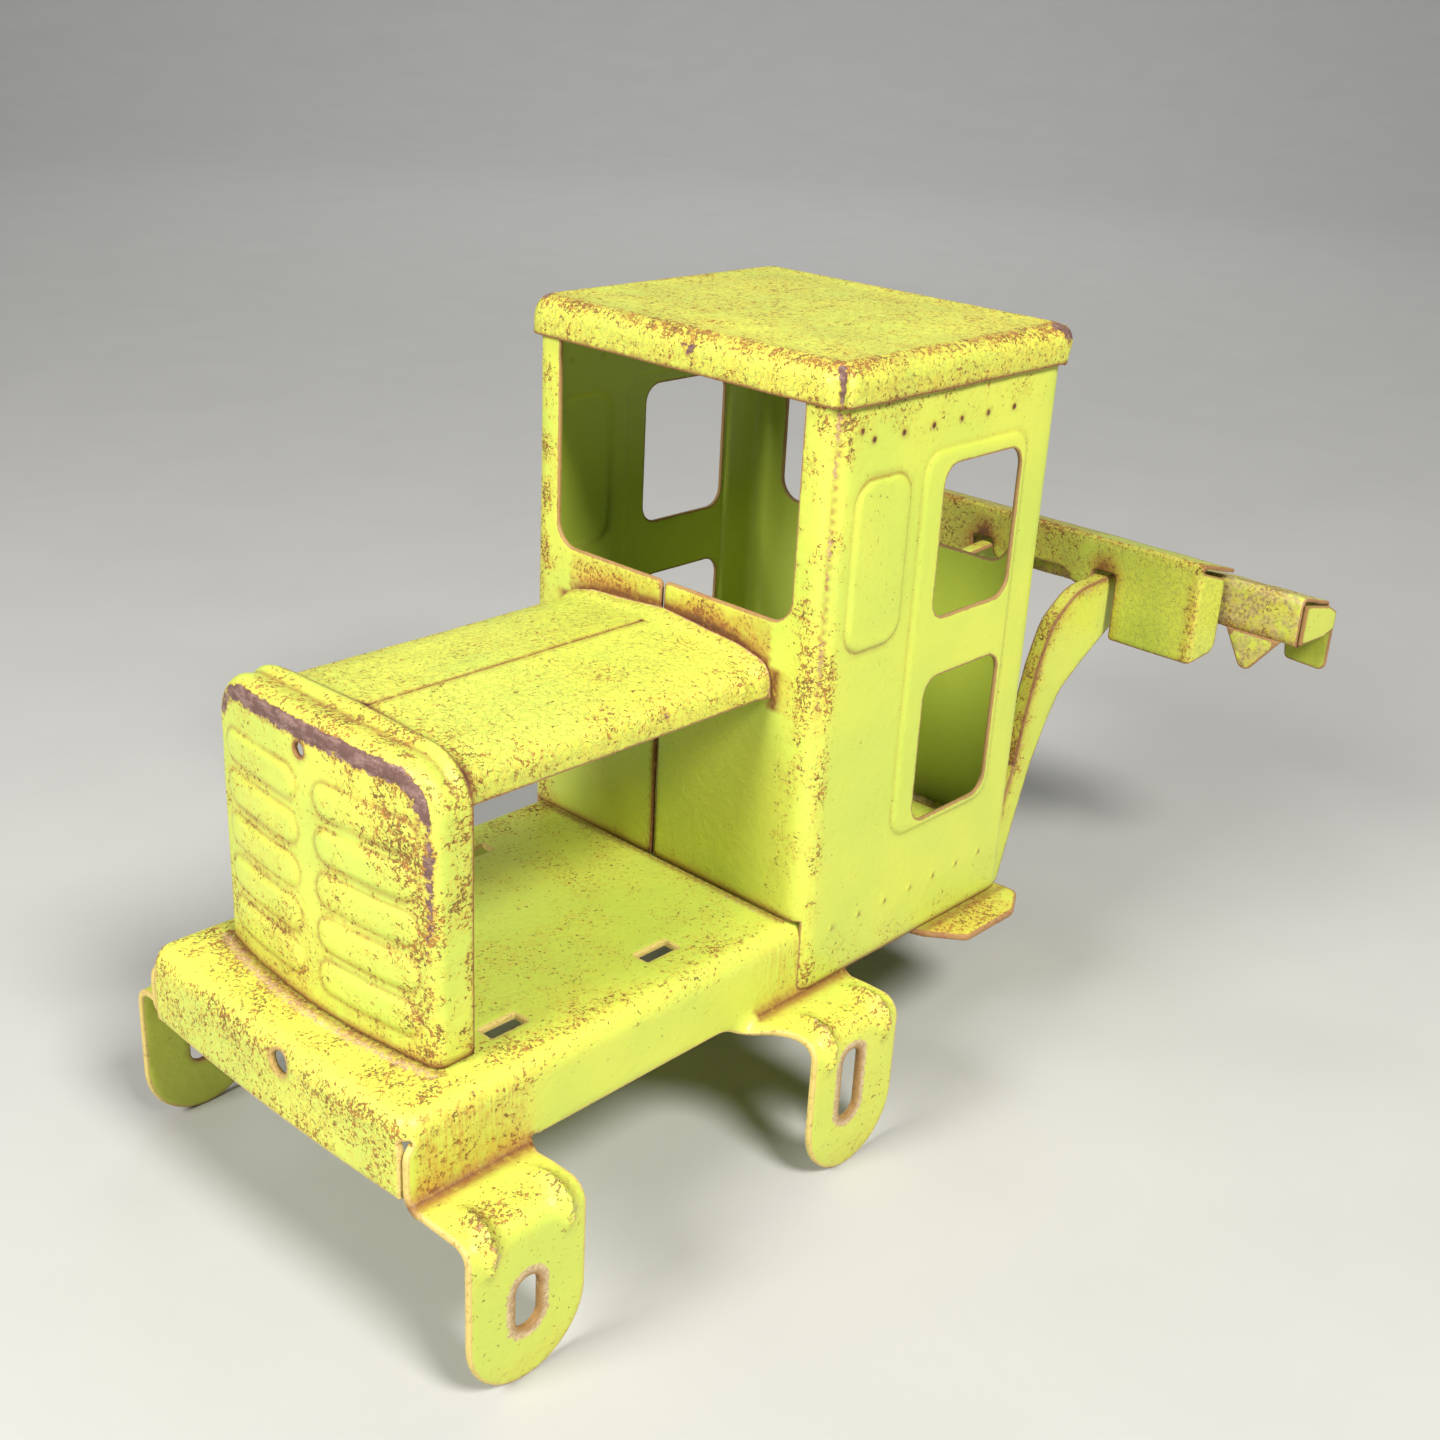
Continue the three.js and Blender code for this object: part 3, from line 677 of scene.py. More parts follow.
def grille():
    nose, tight, shoulder = 3.2, 1.8, 9.0
    half, top = GRILLE_Y - shoulder, GRILLE_TOP - shoulder
    start = shoulder - nose
    wrap = nose * QUARTER_TURN
    depth_end = 7.4
    reach = start + wrap + depth_end
    foot = ON_DECK
    high = top + reach
    outline = [(-half - reach, foot), (half + reach, foot)]
    outline += [(half + reach, high, reach - 0.1), (-half - reach, high, reach - 0.1)]
    hole = circle(*PINHOLE, 1.3, 0.4)
    radius = (GRILLE_Y**2 + GRILLE_BOW**2) / (2 * GRILLE_BOW)
    polar = lambda y, z: past(abs(y) - half, z - top)
    from_pinhole = lambda y, z: np.hypot(y - PINHOLE[0], z - PINHOLE[1])
    face_x = lambda y: GRILLE_X + radius - np.sqrt(radius**2 - np.minimum(abs(y), GRILLE_Y) ** 2)

    def fold(y, z):
        a, b, d = polar(y, z)
        upward = b / np.maximum(d, 1e-9)
        bend = tight + (nose - tight) * upward
        out = np.maximum(d - start, 0)
        flat = nose - bend
        across, deep = drawn(out, flat, bend)
        straight = out > flat + bend * QUARTER_TURN
        share = np.where(d > start, (start + across) / np.maximum(d, 1e-9), 1)
        py = np.sign(y) * (np.minimum(abs(y), half) + a * share)
        pz = np.minimum(z, top) + b * share
        front = face_x(py)
        run = np.clip((out - flat - bend * QUARTER_TURN) / (wrap + depth_end - flat - bend * QUARTER_TURN), 0, 1)
        x = np.where(straight, front + bend + (GRILLE_REAR - front - bend) * run, front + deep)
        pz = pz - 1.2 * (py / GRILLE_Y) ** 2 * ramp(pz, 50, 70)
        return np.stack([x, py, pz], 1)

    def press(y, z):
        _, b, d = polar(y, z)
        out = 0.55 * fade(pill_distance(y, z), -1.2, 0.1) + 0.06 * ripple(y, z, 13, 31)
        out += 0.3 * hill(from_pinhole(y, z) - 1.9, 0.6)
        over = ramp(b / np.maximum(d, 1e-9), 0.35, 0.8)
        out -= 0.45 * over * hill(d - start - wrap - 2.6, 1.6)
        return out + 0.4 * over * hill(d - reach + 1.6, 1.1) * fade(d, reach - 0.8, reach)

    def paint(y, z, skin):
        _, b, d = polar(y, z)
        near = y < 0
        upper = ramp(skin[:, 2], 54, 64)
        lower_jag = ramp(d, start - 3.2, start + 0.4)
        rub = lower_jag * fade(d, start + 1.7, start + 2.7) * upper * (0.8 - 0.3 * ramp(y, 20, 30))
        corner = hill(d - start - 1.4, 1.5) * near * (1 - upper)
        rub = np.maximum(rub, corner * (0.28 + 0.36 * ramp(skin[:, 2], 26, 56)))
        side = hill(d - start - 1.4, 3.8) * (1 - 0.6 * upper)
        rust = 0.42 + 0.5 * side * near + 0.2 * side + 0.5 * spot(y + 17, z - 60, 8)
        rust += 0.2 * ramp(-y, 0, 25) + 0.3 * ramp(d, start + wrap, start + wrap + 2)
        rust += 0.3 * hill(d - start - 5, 3) * upper + 0.4 * spot(y - 6, z - 24, 7)
        border = hill(pill_distance(y, z) - 0.1, 0.4)
        grime = 0.42 * border * (0.7 + 0.6 * ripple(y, z, 16, 33)) + 1.2 * fade(z, foot, foot + 1.9)
        grime += 0.9 * hill(d - reach + 0.1, 0.6) + 0.7 * hill(d - start - wrap - 2.9, 0.7) * (b > 0.5 * d)
        grime += 0.8 * hill(from_pinhole(y, z) - 1.4, 0.6)
        stain = 0.5 * border + 0.7 * fade(z, foot, foot + 5) + 0.3 * spot(y - 6, z - 24, 6)
        return dict(rust=rust + 0.3 * border, bare=rub, stain=stain, grime=grime)

    rings = []
    for side, at in PILLS:
        for grow in (-0.9, -0.4, 0.1):
            span = sorted(side * (e + g) for e, g in ((PILL_INNER, -grow), (PILL_OUTER, grow)))
            r = PILL_HALF + grow - 0.05
            rings += traced(block(*span, at - r - 0.05, at + r + 0.05, r), 0.8)
    core = (GRILLE_REAR + 30, 0, 30)
    return sheet(outline, [hole], fold, core, step=1.0, press=press, paint=paint, rings=rings)


# --- The hood: creased along its middle, with a flared rear lip.

HOOD_X, HOOD_RIDGE = (-73.9, -0.3), 69.6


def hood():
    flank = [(-28, 60.6), (-27.7, 66.0, 3.4), (-20, 67.9, 10)]
    section = Path([*flank, (0, HOOD_RIDGE), *[(-c[0], *c[1:]) for c in reversed(flank)]])
    end = section.length

    def fold(x, s):
        y, z = section(s)
        return np.stack([x, y, z], 1)

    def press(x, s):
        y, z = section(s)
        crease = ramp(x, -72.6, -71) * fade(x, -8, -6)
        out = -0.7 * hill(s - end / 2, 0.5) * crease + 0.3 * hill(s - end / 2 + 1.3, 0.9) * crease
        out += 1.1 * ramp(x, -4.5, -0.6) * (1 - 0.3 * ramp(abs(y), 26, 28))
        out += 0.05 * ripple(x, s, 9, 41) + 0.09 * ripple(x, s, 26, 42)
        dart = hill(x + 7.2, 0.8) * hill(z - 63.4, 2.2) * ramp(-y, 20, 26)
        return out + 0.7 * dart

    def paint(x, s, skin):
        z = section(s)[1]
        crease = hill(s - end / 2 + 0.1, 0.75) * (x < -6.5)
        shoulder = hill(z - 65.4, 2.0)
        rust = 0.34 + 0.3 * shoulder + 0.1 * ripple(x, s, 20, 43) + 0.2 * fade(x, -73, -62)
        grime = 1.5 * crease + 1.7 * fade(x, -73.4, -71.2)
        grime += 0.4 * ramp(x, -2.6, -1.8) * fade(x, -1.4, -0.8)
        bare = 0.55 * spot(x + 28, s - 3.6, 1.6) + 0.5 * spot(x + 22, s - 5.0, 0.9)
        marks = dict(rust=rust, grime=grime, bare=bare, scuff=0.7 * ramp(x, -1.4, -0.7))
        return marks | dict(streak=0.4 * (z < 65), stain=0.3 * (z < 63))

    crease_rings = [(x, end / 2 + o) for x in np.arange(-73, -5, 0.8) for o in (-0.9, -0.45, 0, 0.45, 0.9)]
    outline = [(HOOD_X[0], 0), (HOOD_X[1], 0), (HOOD_X[1], end), (HOOD_X[0], end)]
    return sheet(outline, [], fold, (-37, 0, 20), press=press, paint=paint, rings=crease_rings)


# --- The pan and its four hangers: one sheet, bent down all round the deck and out again at the hangers.

PAN_FRONT, PAN_REAR, PAN_BOW, PAN_BEND, APRON_FOOT = -95.3, 64.0, 1.0, 4.0, -0.5
FLANGE_TOP, FLANGE_REACH, HANGER_TIP, HANGER_HALF, FILLET = -0.8, 54.0, -34.0, 12.75, 2.0
HANGERS = {"front": (-82.1, -82.3, -18.2, 10.4), "rear": (3.1, 1.8, -14.4, 15.6)}
SLOT_HALF = 2.6
MID_PAN = -40.0  # between the front hangers and the rear ones
KNOCK = (3.3, 3.0)  # how far the front right hanger is bent back and in
DECK_SLOTS = [(x, side * 26.9) for x in (-64.7, -26.8) for side in (1, -1)]
EYELET = (-4.8, 10.8, 2.3)


def pan():
    inset_y = DECK_Y - PAN_BEND
    inset_x = PAN_FRONT + PAN_BEND
    arc = PAN_BEND * QUARTER_TURN
    apron = arc + DECK_TOP - PAN_BEND - APRON_FOOT
    leg = Path(
        [(inset_y, DECK_TOP), (DECK_Y, DECK_TOP, PAN_BEND), (DECK_Y, FLANGE_TOP, FILLET),
         (FLANGE_REACH, FLANGE_TOP, PAN_BEND), (FLANGE_REACH, HANGER_TIP)]
    )
    drop = leg.length  # from the deck's bend line to a hanger's tip
    knee = leg.at(FLANGE_REACH - 1.2, FLANGE_TOP - 1.2)
    at_z = lambda z: drop - (z - HANGER_TIP)
    from_hanger = lambda x: np.where(x < MID_PAN, x - HANGERS["front"][0], x - HANGERS["rear"][0])
    polar = lambda x, y: past(inset_x - x, abs(y) - inset_y)

    def fold(x, y):
        a, b, d = polar(x, y)
        across, deep = drawn(d, 0, PAN_BEND)
        share = across / np.maximum(d, 1e-9)
        side_across, side_deep = drawn(b, 0, PAN_BEND)
        front_across, front_deep = drawn(a, 0, PAN_BEND)
        side_flap, front_flap = ramp(b, 4, 10) * (b > a), ramp(a, 4, 10) * (a >= b)
        flaps = lambda base, side, front: base + side_flap * (side - base) + front_flap * (front - base)
        px = np.maximum(x, inset_x) - flaps(a * share, a, front_across)
        py = np.minimum(abs(y), inset_y) + flaps(b * share, side_across, b)
        pz = DECK_TOP - flaps(deep, side_deep, front_deep)
        out, down = leg(b)
        hanging = np.zeros(np.shape(x))
        for name, (centre, *_) in HANGERS.items():
            spread = np.where((x < centre) & (name == "rear"), 8.0, 2.2)
            hanging = np.maximum(hanging, fade((abs(x - centre) - HANGER_HALF) / spread, 0.0, 1.0))
        hanging = np.where((b > arc) & (a < b), hanging, 0)
        py = py + (out - py) * hanging
        pz = pz + (down - pz) * hanging
        bowed = PAN_BOW * (1 - np.minimum(abs(y) / inset_y, 1) ** 2) * fade(x, -95, -70)
        knocked = ramp(b, apron - 3, apron + 6) * (y > 0) * (x < MID_PAN)
        px, py = px - bowed + KNOCK[0] * knocked, py - KNOCK[1] * knocked
        return np.stack([px, np.sign(y) * py, pz], 1)

    def leg_outline(side):
        """The side's edge from rear to front, as (x, flat y)."""
        foot = inset_y + apron
        run = [(PAN_REAR, foot)]
        for name in ("rear", "front"):
            centre = HANGERS[name][0]
            ahead, behind = centre - HANGER_HALF, centre + HANGER_HALF
            tip = inset_y + drop
            run += [(behind + 2.6, foot, 0.6), (behind + 1.5, foot - 0.9, 0.7), (behind - 0.3, foot + 2.6, 1.2)]
            run += [(behind, foot + 6, 3), (behind, tip, HANGER_HALF - 0.05), (ahead, tip, HANGER_HALF - 0.05)]
            if name == "rear":
                run += [(ahead, foot + 7, 5), (ahead - 9, foot, 8)]
            else:
                run += [(ahead, foot + 2.5, 1.0)]
        return [(x, side * y, *r) for x, y, *r in run]

    def corner(side):
        """The front corner's slit with a teardrop at its top, from the side apron's front edge to the front apron's."""
        ahead_out = [(3.8, apron + 1.2, 0.6), (3.8, 8.6, 0.8), (3.1, 7.2, 0.7), (3.5, 5.4, 0.7), (4.7, 4.5, 0.6)]
        ahead_out += [(5.8, 3.2, 0.7), (7.2, 1.9, 0.7), (8.6, 2.2, 0.6), (apron, 2.2, 0.6)]
        return [(inset_x - ahead, side * (inset_y + out), r) for ahead, out, r in ahead_out]

    left = leg_outline(-1) + corner(-1)
    right = leg_outline(1) + corner(1)
    outline = left + right[::-1]
    holes = [block(x - 4, x + 4, y - 1.7, y + 1.7, 0.3) for x, y in DECK_SLOTS]
    eye_y, eye_z, eye_r = EYELET
    eye_x = inset_x - arc - (DECK_TOP - PAN_BEND - eye_z)
    holes.append(circle(eye_x, eye_y, eye_r, 0.35))
    slots = []
    for _, slot_x, slot_z, length in HANGERS.values():
        low, high = inset_y + at_z(slot_z + length / 2), inset_y + at_z(slot_z - length / 2)
        wide, r = (slot_x - SLOT_HALF, slot_x + SLOT_HALF), SLOT_HALF - 0.05
        slots.append((*wide, low, high, r))
        holes += [block(*wide, *sorted((side * low, side * high)), r) for side in (1, -1)]

    def beads(x, y):
        along = abs(y) - inset_y
        out = np.zeros(np.shape(x))
        for centre, *_ in HANGERS.values():
            for sign in (-1, 1):
                line = centre + sign * (8.2 - 0.12 * np.clip(knee - along, -6, 9) * (sign < 0))
                body = ramp(along, knee - 11, knee - 4) * fade(along, knee + 3, knee + 8.5)
                out = np.maximum(out, hill(x - line, 1.35 - 0.5 * ramp(along, knee, knee + 6)) * body)
        return out

    def press(x, y):
        a, _, d = polar(x, y)
        deck = fade(d, 0, 3)
        along = abs(y) - inset_y
        out = 1.9 * beads(x, y) - 0.03 * deck + 0.03 * ripple(x, y, 30, 51)
        seam = hill(x + 67.6, 0.5) * ramp(along, arc, arc + 2) * fade(along, apron - 1, apron + 1)
        out += 0.28 * seam
        return out * np.where(a > arc / 2, 0.2, 1)

    def paint(x, y, skin):
        a, b, d = polar(x, y)
        z = skin[:, 2]
        deck = fade(d, 0, 2)
        front_apron = ramp(a, 2.5, 5)
        side_apron = ramp(b, 3, 6) * fade(b, apron - 0.5, apron + 1) * (a < 2)
        near_bend = hill(d - 2.5, 3.6)
        grille_foot = x - (-86.6 + 3.6 * (y / 31) ** 2)
        in_front = (abs(y) < 32) * hill(grille_foot, 1.9)
        rust = deck * (0.1 + 0.5 * ramp(abs(y), 27, 35) + 0.4 * (x < -80)) + 0.75 * front_apron + 0.5 * near_bend
        rust += side_apron * (0.1 + 0.6 * fade(x, -74, -66) + 0.2 * ramp(x, -12, -2))
        flange = ramp(b, apron, apron + 2)
        rust += flange * (0.22 + 0.8 * hill(b - knee + 4, 4.5) * hill(abs(from_hanger(x)), 9))
        streak = side_apron * (0.95 * fade(x, -75, -66) + 0.5 * ramp(x, -14, -4))
        stain = 0.75 * side_apron * fade(x, -78, -66) * fade(z, 3, 13) + 0.6 * deck * in_front
        stain += 0.3 * hill(z + 32, 4) + 0.9 * hill(b - apron, 3.0) * (abs(from_hanger(x)) < HANGER_HALF + 1.5)
        neck = hill(b - apron - 0.4, 1.5) * (abs(from_hanger(x)) < HANGER_HALF + 1.5)
        grime = 1.05 * neck + 0.8 * (abs(y) < 32) * hill(grille_foot - 1.4, 0.7) + 0.9 * deck * hill(x + 0.4, 0.8)
        grime += 0.5 * hill(np.hypot(x - eye_x, y - eye_y) - eye_r - 0.3, 0.7)
        bead = beads(x, y)
        # Grime on one flank of each bead, from a copy shifted 1.4 mm: painted shade on the bead's unlit side.
        shift = beads(x - 1.4, y)
        grime += 0.45 * np.maximum(shift - bead, 0)
        scuff = 0.55 * deck * in_front + 0.5 * deck * hill(x + 1.4, 1.0) * (abs(y) > 20)
        for u0, u1, v0, v1, r in slots:
            ring = panel(x, abs(y), u0, u1, v0, v1, r)
            scuff = np.maximum(scuff, 0.95 * fade(ring, 1.2, 3.0))
            grime += 0.75 * hill(ring - 0.3, 0.8)
        bare = 0.62 * spot(x + 68.8, b - apron - 0.6, 2.0) * (b > 8)
        tips = ramp(b, knee + 0.5, knee + 4.0) * shift
        scuff = np.maximum(scuff, np.maximum(0.9 * tips, 0.42 * bead))
        rust += 0.7 * bead
        ridge = hill(d - 3.4, 0.9) * (x < -78) * (b > 1.5) * (a < 4)
        bare = np.maximum(bare, 0.45 * ridge)
        return dict(rust=rust, streak=streak, stain=stain, grime=grime, bare=bare, scuff=scuff)

    core = (-20, 0, -5)
    # The pan's inner side gets only a little painted shade.
    return sheet(outline, holes, fold, core, PAN_SHEET, step=1.25, press=press, paint=paint, shade=0.1)


# --- Behind and below the cab.


def step_plate():
    outline = [(40, -38), (41, -41), (47, -48.5, 2), (64, -48.5, 5), (72, -44, 3), (71.5, -38)]
    outline += [(x, -y, *r) for x, y, *r in reversed(outline)]
    paint = lambda x, y, skin: dict(rust=0.75, stain=0.55 + 0.4 * hill(x - 43, 5), grime=0.8 * hill(abs(y) - 40.6, 1))
    press = lambda x, y: -0.12 * ramp(abs(y), 41, 48.5)
    return sheet(outline, [], flat_sheet(2, -0.8), (56, 0, -20), PAN_SHEET, press=press, paint=paint)


def sill_angle():
    back = CAB_X - SHEET - 0.3
    section = Path([(back, 0.4), (back, 14, 1.0), (back - 4.6, 14)])
    outline = block(0, section.length, -34, 34, 0.5)
    return sheet(outline, [], swept(section), (back - 20, 0, -10), paint=lambda *_: dict(rust=0.9, stain=0.9))


YOKE_HALF, YOKE_STRIP, YOKE_FOLD_R, YOKE_GAP = 19.5, 4.3, 1.1, 0.35
YOKE_FOLD = [
    (44, -2.5), (99.5, -2.5, 6), (104, 10), (106.8, 24.6), (109.8, 36.1, 8), (114.1, 46.1, 10), (123.6, 52.4, 14),
    (146, 53.7),
]
YOKE_HEEL = [
    (146, 42.5), (138.5, 38.3), (129.5, 33.3, 12), (120.5, 27.6, 8), (115.6, 19.6), (111.1, 10.1), (107.9, 0.2),
    (104.6, -11.2), (102, -20, 3), (92, -19.5), (44, -8),
]


def yoke():
    line = Path(YOKE_FOLD)
    base, base_end = swept(line), line.at(104.6, 12)
    from_fold = lambda x, z: nearest(np.stack([x, z], 1), line.points)
    web_outline = [*line.points, *rounded(YOKE_HEEL, closed=False)]
    strip_outline = block(base_end, line.length, YOKE_GAP, YOKE_STRIP)
    sheets = []

    def web_press(x, z):
        return -YOKE_FOLD_R * fade(from_fold(x, z), 0, 1.4) * 0.45

    def web_paint(x, z, skin):
        d = from_fold(x, z)
        marks = dict(rust=0.16 + 0.6 * hill(d, 3), grime=0.8 * hill(d - 0.4, 0.7), stain=0.4 * hill(d, 3))
        return marks | dict(scuff=0.55 * hill(d - 1.0, 0.8))

    def strip_paint(s, w, skin):
        low = fade(s, 60, 110)
        marks = dict(rust=0.7 + 0.3 * low, grime=0.6 * hill(w - 0.3, 0.6), stain=0.35 + 0.4 * low)
        return marks | dict(bare=0.3 * hill(w - 0.4, 0.7) + 0.25 * low)

    for side in (-1, 1):
        web = flat_sheet(1, side * YOKE_HALF)
        # The webs' inner sides get only a little painted shade.
        sheets.append(sheet(web_outline, [], web, (100, 0, 20), step=1.6, press=web_press, paint=web_paint, shade=0.2))
        strip = lambda s, w, side=side: base(s, side * (YOKE_HALF - w))
        sheets.append(sheet(strip_outline, [], strip, (120, 0, 0), paint=strip_paint))
    base_outline = block(0, base_end, -YOKE_HALF + YOKE_GAP, YOKE_HALF - YOKE_GAP, 0.5)
    base_paint = lambda *_: dict(rust=0.4, stain=0.3)
    sheets.append(sheet(base_outline, [], base, (80, 0, -40), step=1.6, paint=base_paint))
    return sheets


BEAM_X, BEAM_TOP, BEAM_BACK, BEAM_HALF, BEAM_FOOT, BEAM_STEP = 136.0, 63.2, 152.5, 44.5, 37.6, 21.6
BEAM_SLOPE = 0.27  # how steeply the tops of the crossmember's sheets fall to the rear


def crossmember_face():
    fall = (BEAM_BACK - BEAM_X) * BEAM_SLOPE
    section = Path([(BEAM_X, 30), (BEAM_X, BEAM_TOP, 1.6), (BEAM_BACK, BEAM_TOP - fall)])
    base = 30
    top = base + section.length
    bend = 1.2
    cheek = bend * QUARTER_TURN + 11.0
    wide = BEAM_HALF - bend + cheek
    corner_z = 60.6
    left = [
        (-BEAM_HALF, top, 0.8), (-BEAM_HALF, corner_z + 0.9, 0.4), (-BEAM_HALF - 0.4, corner_z, 0.4),
        (-wide, 57.0, 1.5), (-wide, BEAM_FOOT + 0.8, 3), (-BEAM_HALF - 1.2, BEAM_FOOT + 0.3, 2),
        (-BEAM_HALF + 1.5, BEAM_FOOT, 2), (-BEAM_STEP, BEAM_FOOT, 1), (-BEAM_STEP, 54.5, 1.2), (-15, 54.5, 1.2),
        (-15, 49.6, 2.6), (-9, 49.6, 3), (-7, 52.6, 3),
    ]
    outline = left + [(-y, *rest) for y, *rest in reversed(left)]

    def fold(y, s):
        x, z = section(s - base)
        over = np.maximum(abs(y) - (BEAM_HALF - bend), 0)
        across, deep = drawn(over, 0, bend)
        below = s < corner_z + 0.2
        py = np.where(below & (over > 0), np.sign(y) * (BEAM_HALF - bend + across), y)
        return np.stack([np.where(below, x + deep, x), py, z], 1)

    def press(y, s):
        return 0.1 * ripple(y, s, 22, 61) * (abs(y) < 42) - 0.14

    def paint(y, s, skin):
        notch = spot(abs(y) - 18, s - 55.5, 4.2)
        far = ramp(y, -14, -8)
        end_edge = hill(abs(y) - 43.2, 1.7)
        rust = 0.14 + 0.7 * end_edge + 0.4 * far + 0.6 * hill(s - 63, 2.0) + 0.5 * notch
        stain = 1.1 * notch + 0.9 * end_edge + 0.9 * hill(abs(y) - 22.5, 1.4) * (s < 56) + 0.5 * hill(s - 63.2, 1.6)
        grime = spot(abs(y) - 18, s - 55.4, 2.9) + 0.3 * far + 0.7 * ramp(s, top - 2, top - 0.4)
        return dict(rust=rust, stain=stain, grime=grime, bare=0.3 * hill(s - 63, 1.4))

    return sheet(outline, [], fold, (160, 0, 40), step=1.4, press=press, paint=paint)


REAR_X, REAR_TOP, REAR_BACK, REAR_HALF, REAR_FOOT = 150.2, 57.2, 165.4, 64.0, 44.2


def rear_channel():
    fall = (REAR_BACK - REAR_X) * BEAM_SLOPE
    section = Path(
        [(REAR_X + 3, REAR_FOOT), (REAR_X, REAR_FOOT, 1), (REAR_X, REAR_TOP, 1.6), (REAR_BACK, REAR_TOP - fall, 1.6),
         (REAR_BACK, REAR_FOOT)]
    )

    def paint(s, y, skin):
        low = hill(skin[:, 2] - REAR_FOOT, 2.2)
        return dict(rust=0.6 + 0.4 * low, stain=0.4 + 0.5 * low, grime=0.6 * low)

    press = lambda s, y: 0.1 * ripple(s, y, 9, 71) - 0.16
    outline = block(0, section.length, -REAR_HALF, REAR_HALF, 0.6)
    sheets = [sheet(outline, [], swept(section), (158, 0, 50), press=press, paint=paint)]
    for side in (-1, 1):
        corners = ((60, REAR_FOOT + 0.5, 0), (51.4, 33.6, 2.2), (45.5, REAR_FOOT + 0.5, 0))
        lug = [(side * y, z, r) for y, z, r in corners]
        lug_paint = lambda y, z, skin: dict(rust=0.3, stain=0.7 * hill(z - 34, 3.4))
        sheets.append(sheet(lug, [], flat_sheet(0, REAR_X + 0.05), (170, 0, 40), paint=lug_paint))
    return sheets


def ear(side):
    outer = REAR_HALF + 0.3 + SHEET
    rear = REAR_BACK + 0.3 + 2 * SHEET
    tab = [
        (REAR_X, 45.4), (REAR_X + 12, 44.8), (rear, 45.6, 0.5), (rear, 50.2, 1.5), (REAR_X + 13, 52.4),
        (REAR_X, 55.4),
    ]
    foot = [(y - outer, z, *r) for y, z, *r in ((0.05, 34.6, 2), (10.8, 35.2, 1.5), (12, 43.4), (0.05, 49.4))]
    foot = [(-side * y, *rest) for y, *rest in foot]
    tab_paint = lambda x, z, skin: dict(rust=0.15, grime=0.5 * hill(x - REAR_X, 0.8))
    foot_paint = lambda *_: dict(rust=0.8, stain=0.9)
    return [
        sheet(tab, [], flat_sheet(1, side * outer), (158, 0, 50), paint=tab_paint),
        sheet(foot, [], flat_sheet(0, rear), (100, 0, 40), paint=foot_paint),
    ]


# --- The assembly.

HANGER_NODES = [f"axle_hanger_{end}_{side}" for end in ("front", "rear") for side in ("left", "right")]
piece("pan_with_hangers", [pan()], PAINT_PAN, ["deck_pan", *HANGER_NODES])
piece("grille", [grille()], PAINT, ["grille_shell"])
piece("hood_sheet", [hood()], PAINT_CRACKED, ["hood"])
piece("cab_wrap", [cab()], PAINT, ["cab_shell"])
piece("roof", [roof()], PAINT_CRACKED, ["roof_cap"])
piece("step", [step_plate()], PAINT, ["step_plate"])
piece("sill", [sill_angle()], PAINT_RUST, ["sill_angle"])
piece("yoke_arms", yoke(), PAINT, ["yoke"])
piece("beam_face", [crossmember_face()], PAINT_CRACKED, ["crossmember_face"])
piece("beam_channel", rear_channel(), PAINT_WORN, ["crossmember_back"])
for side, name in ((-1, "left"), (1, "right")):
    piece(f"ear_{name}", ear(side), PAINT, [f"end_ear_{name}"])

# --- Floor, light and camera.


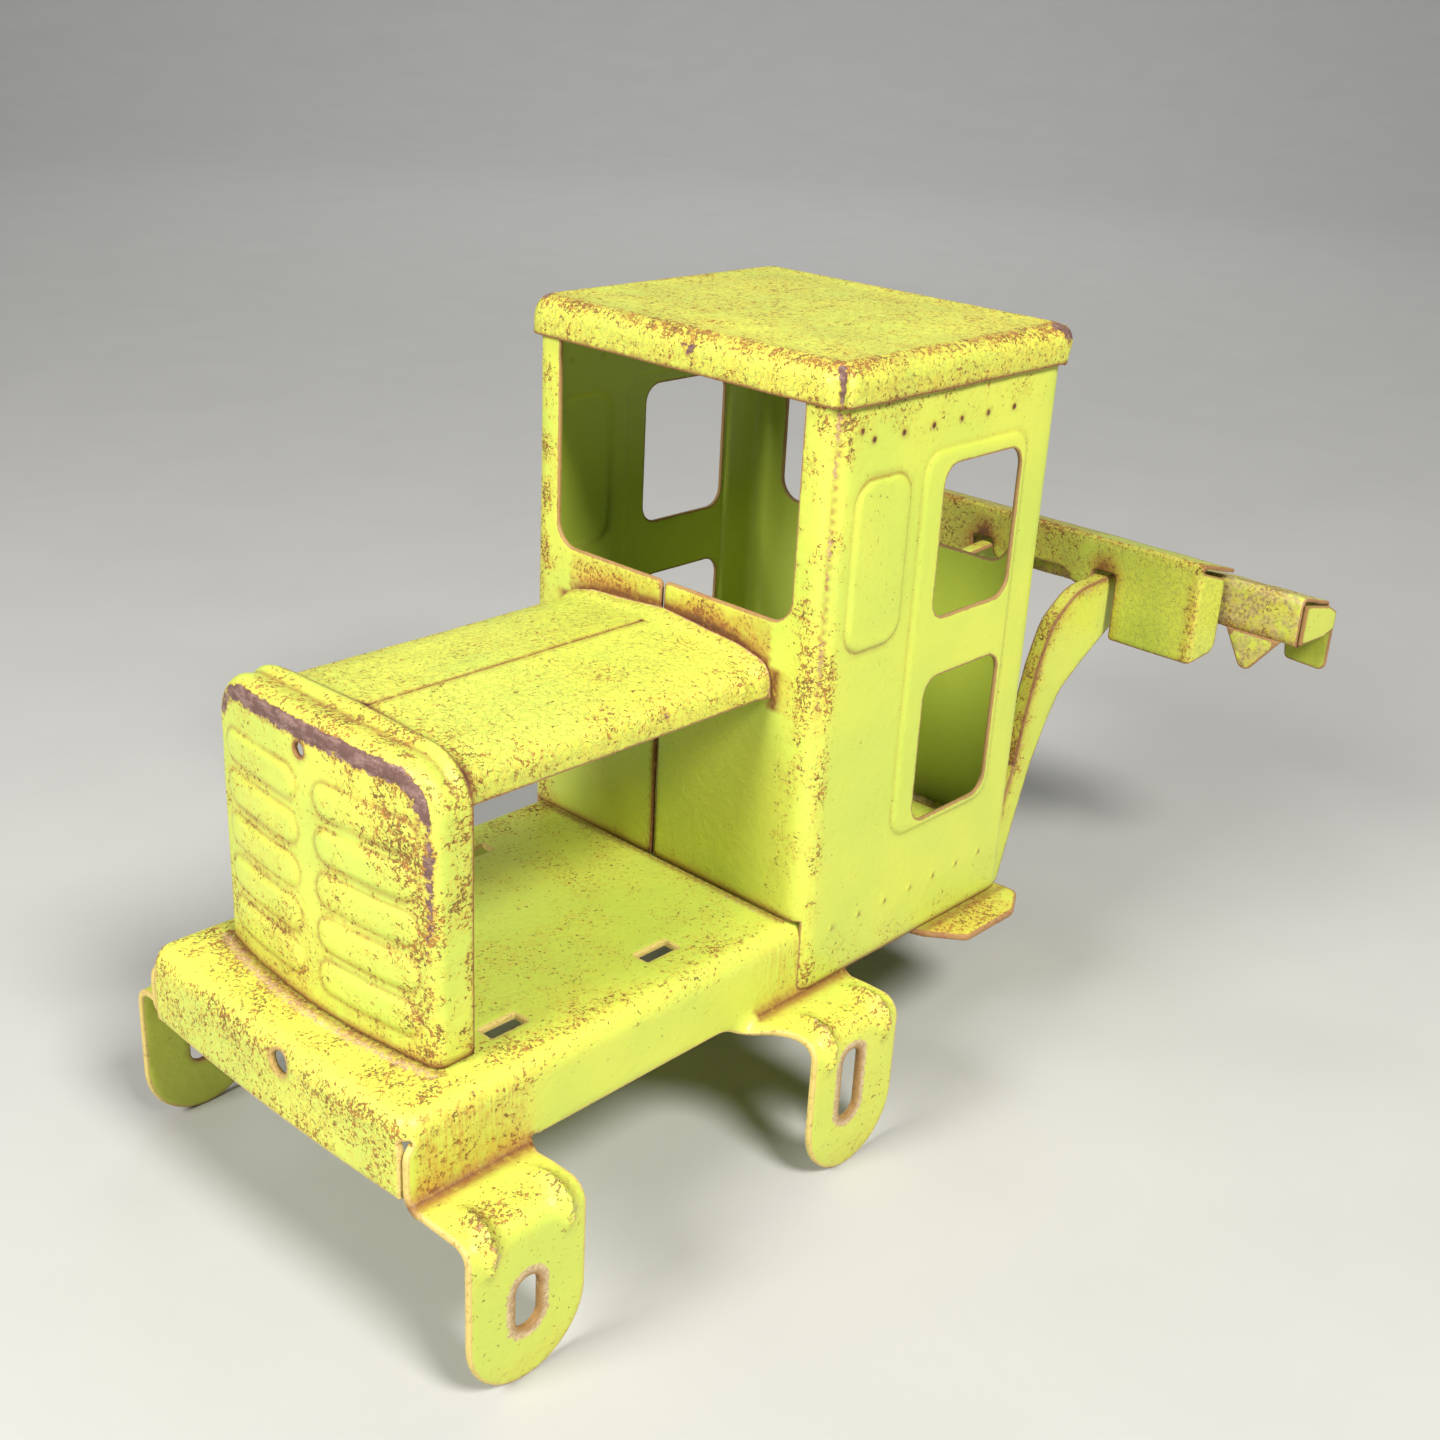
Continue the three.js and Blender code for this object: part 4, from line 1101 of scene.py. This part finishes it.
def floor():
    """A pale paper floor that sweeps up into a wall all round, far from the object."""
    start, bend, high, around = 1.7, 1.6, 4.2, 96
    profile = [(0.02, 0.0), (0.6, 0.0), (start, 0.0)]
    profile += [(start + bend * math.sin(t), bend * (1 - math.cos(t))) for t in np.linspace(0.1, QUARTER_TURN, 15)]
    profile.append((start + bend, high))
    angles = [FULL_TURN * k / around for k in range(around)]
    points = [(r * math.cos(t), r * math.sin(t), z) for r, z in profile for t in angles]
    faces = [tuple(range(around))]
    for ring in range(len(profile) - 1):
        for k in range(around):
            a, b = ring * around + k, ring * around + (k + 1) % around
            faces.append((a, a + around, b + around, b))
    mesh = bpy.data.meshes.new("floor")
    mesh.from_pydata(points, [], faces)
    mesh.shade_smooth()
    n = Nodes("floor_paper")
    shade = n.mix(n.noise(0.02, 3), linear(178, 178, 176), linear(186, 186, 184))
    n.put(n.shader.inputs["Base Color"], shade)
    n.shader.inputs["Roughness"].default_value = 0.7
    mesh.materials.append(n.material)
    added("floor", mesh)


def lamp(name, position, target, size, watts, tint):
    data = bpy.data.lights.new(name, "AREA")
    data.shape, data.size, data.energy, data.color = "DISK", size, watts, tint
    thing = added(name, data)
    thing.location = position
    thing.rotation_euler = (Vector(target) - Vector(position)).to_track_quat("-Z", "Y").to_euler()


def camera(position, heading, fall, roll, lens, sensor=36):
    """A camera that looks along a heading from +X towards +Y, tipped down, then rolled, in degrees."""
    h, e, r = (math.radians(angle) for angle in (heading, fall, roll))
    forward = Vector((math.cos(h) * math.cos(e), math.sin(h) * math.cos(e), -math.sin(e)))
    level = Vector((math.sin(h), -math.cos(h), 0))
    right = level * math.cos(r) + level.cross(forward) * math.sin(r)
    up = right.cross(forward)
    data = bpy.data.cameras.new("camera")
    data.lens, data.sensor_width, data.clip_start = lens, sensor, 0.01
    thing = added("camera", data)
    axes = Matrix((right, up, -forward)).transposed().to_4x4()
    thing.matrix_world = Matrix.Translation(Vector(place(np.array(position)))) @ axes
    bpy.context.scene.camera = thing


MIDDLE = (0, 0, 0.06)
floor()
lamp("key", (-0.22, -0.8, 0.93), MIDDLE, 0.36, 18, (1, 0.98, 0.93))
lamp("front_fill", (-0.85, 0.04, 0.62), MIDDLE, 0.4, 10.5, (1, 0.98, 0.95))
lamp("backdrop", (0.9, 0.8, 1.5), (1.7, 1.5, 0.3), 0.8, 18, (1, 1, 1))
world = bpy.data.worlds.new("studio")
world.use_nodes = True
sky = world.node_tree.nodes["Background"].inputs
sky["Color"].default_value, sky["Strength"].default_value = (0.9, 0.93, 1.0, 1), 0.12
bpy.context.scene.world = world
bpy.context.scene.view_settings.view_transform = "Standard"
camera((-239.33, -230.01, 189.20), heading=41.82, fall=23.17, roll=3.19, lens=44.64)
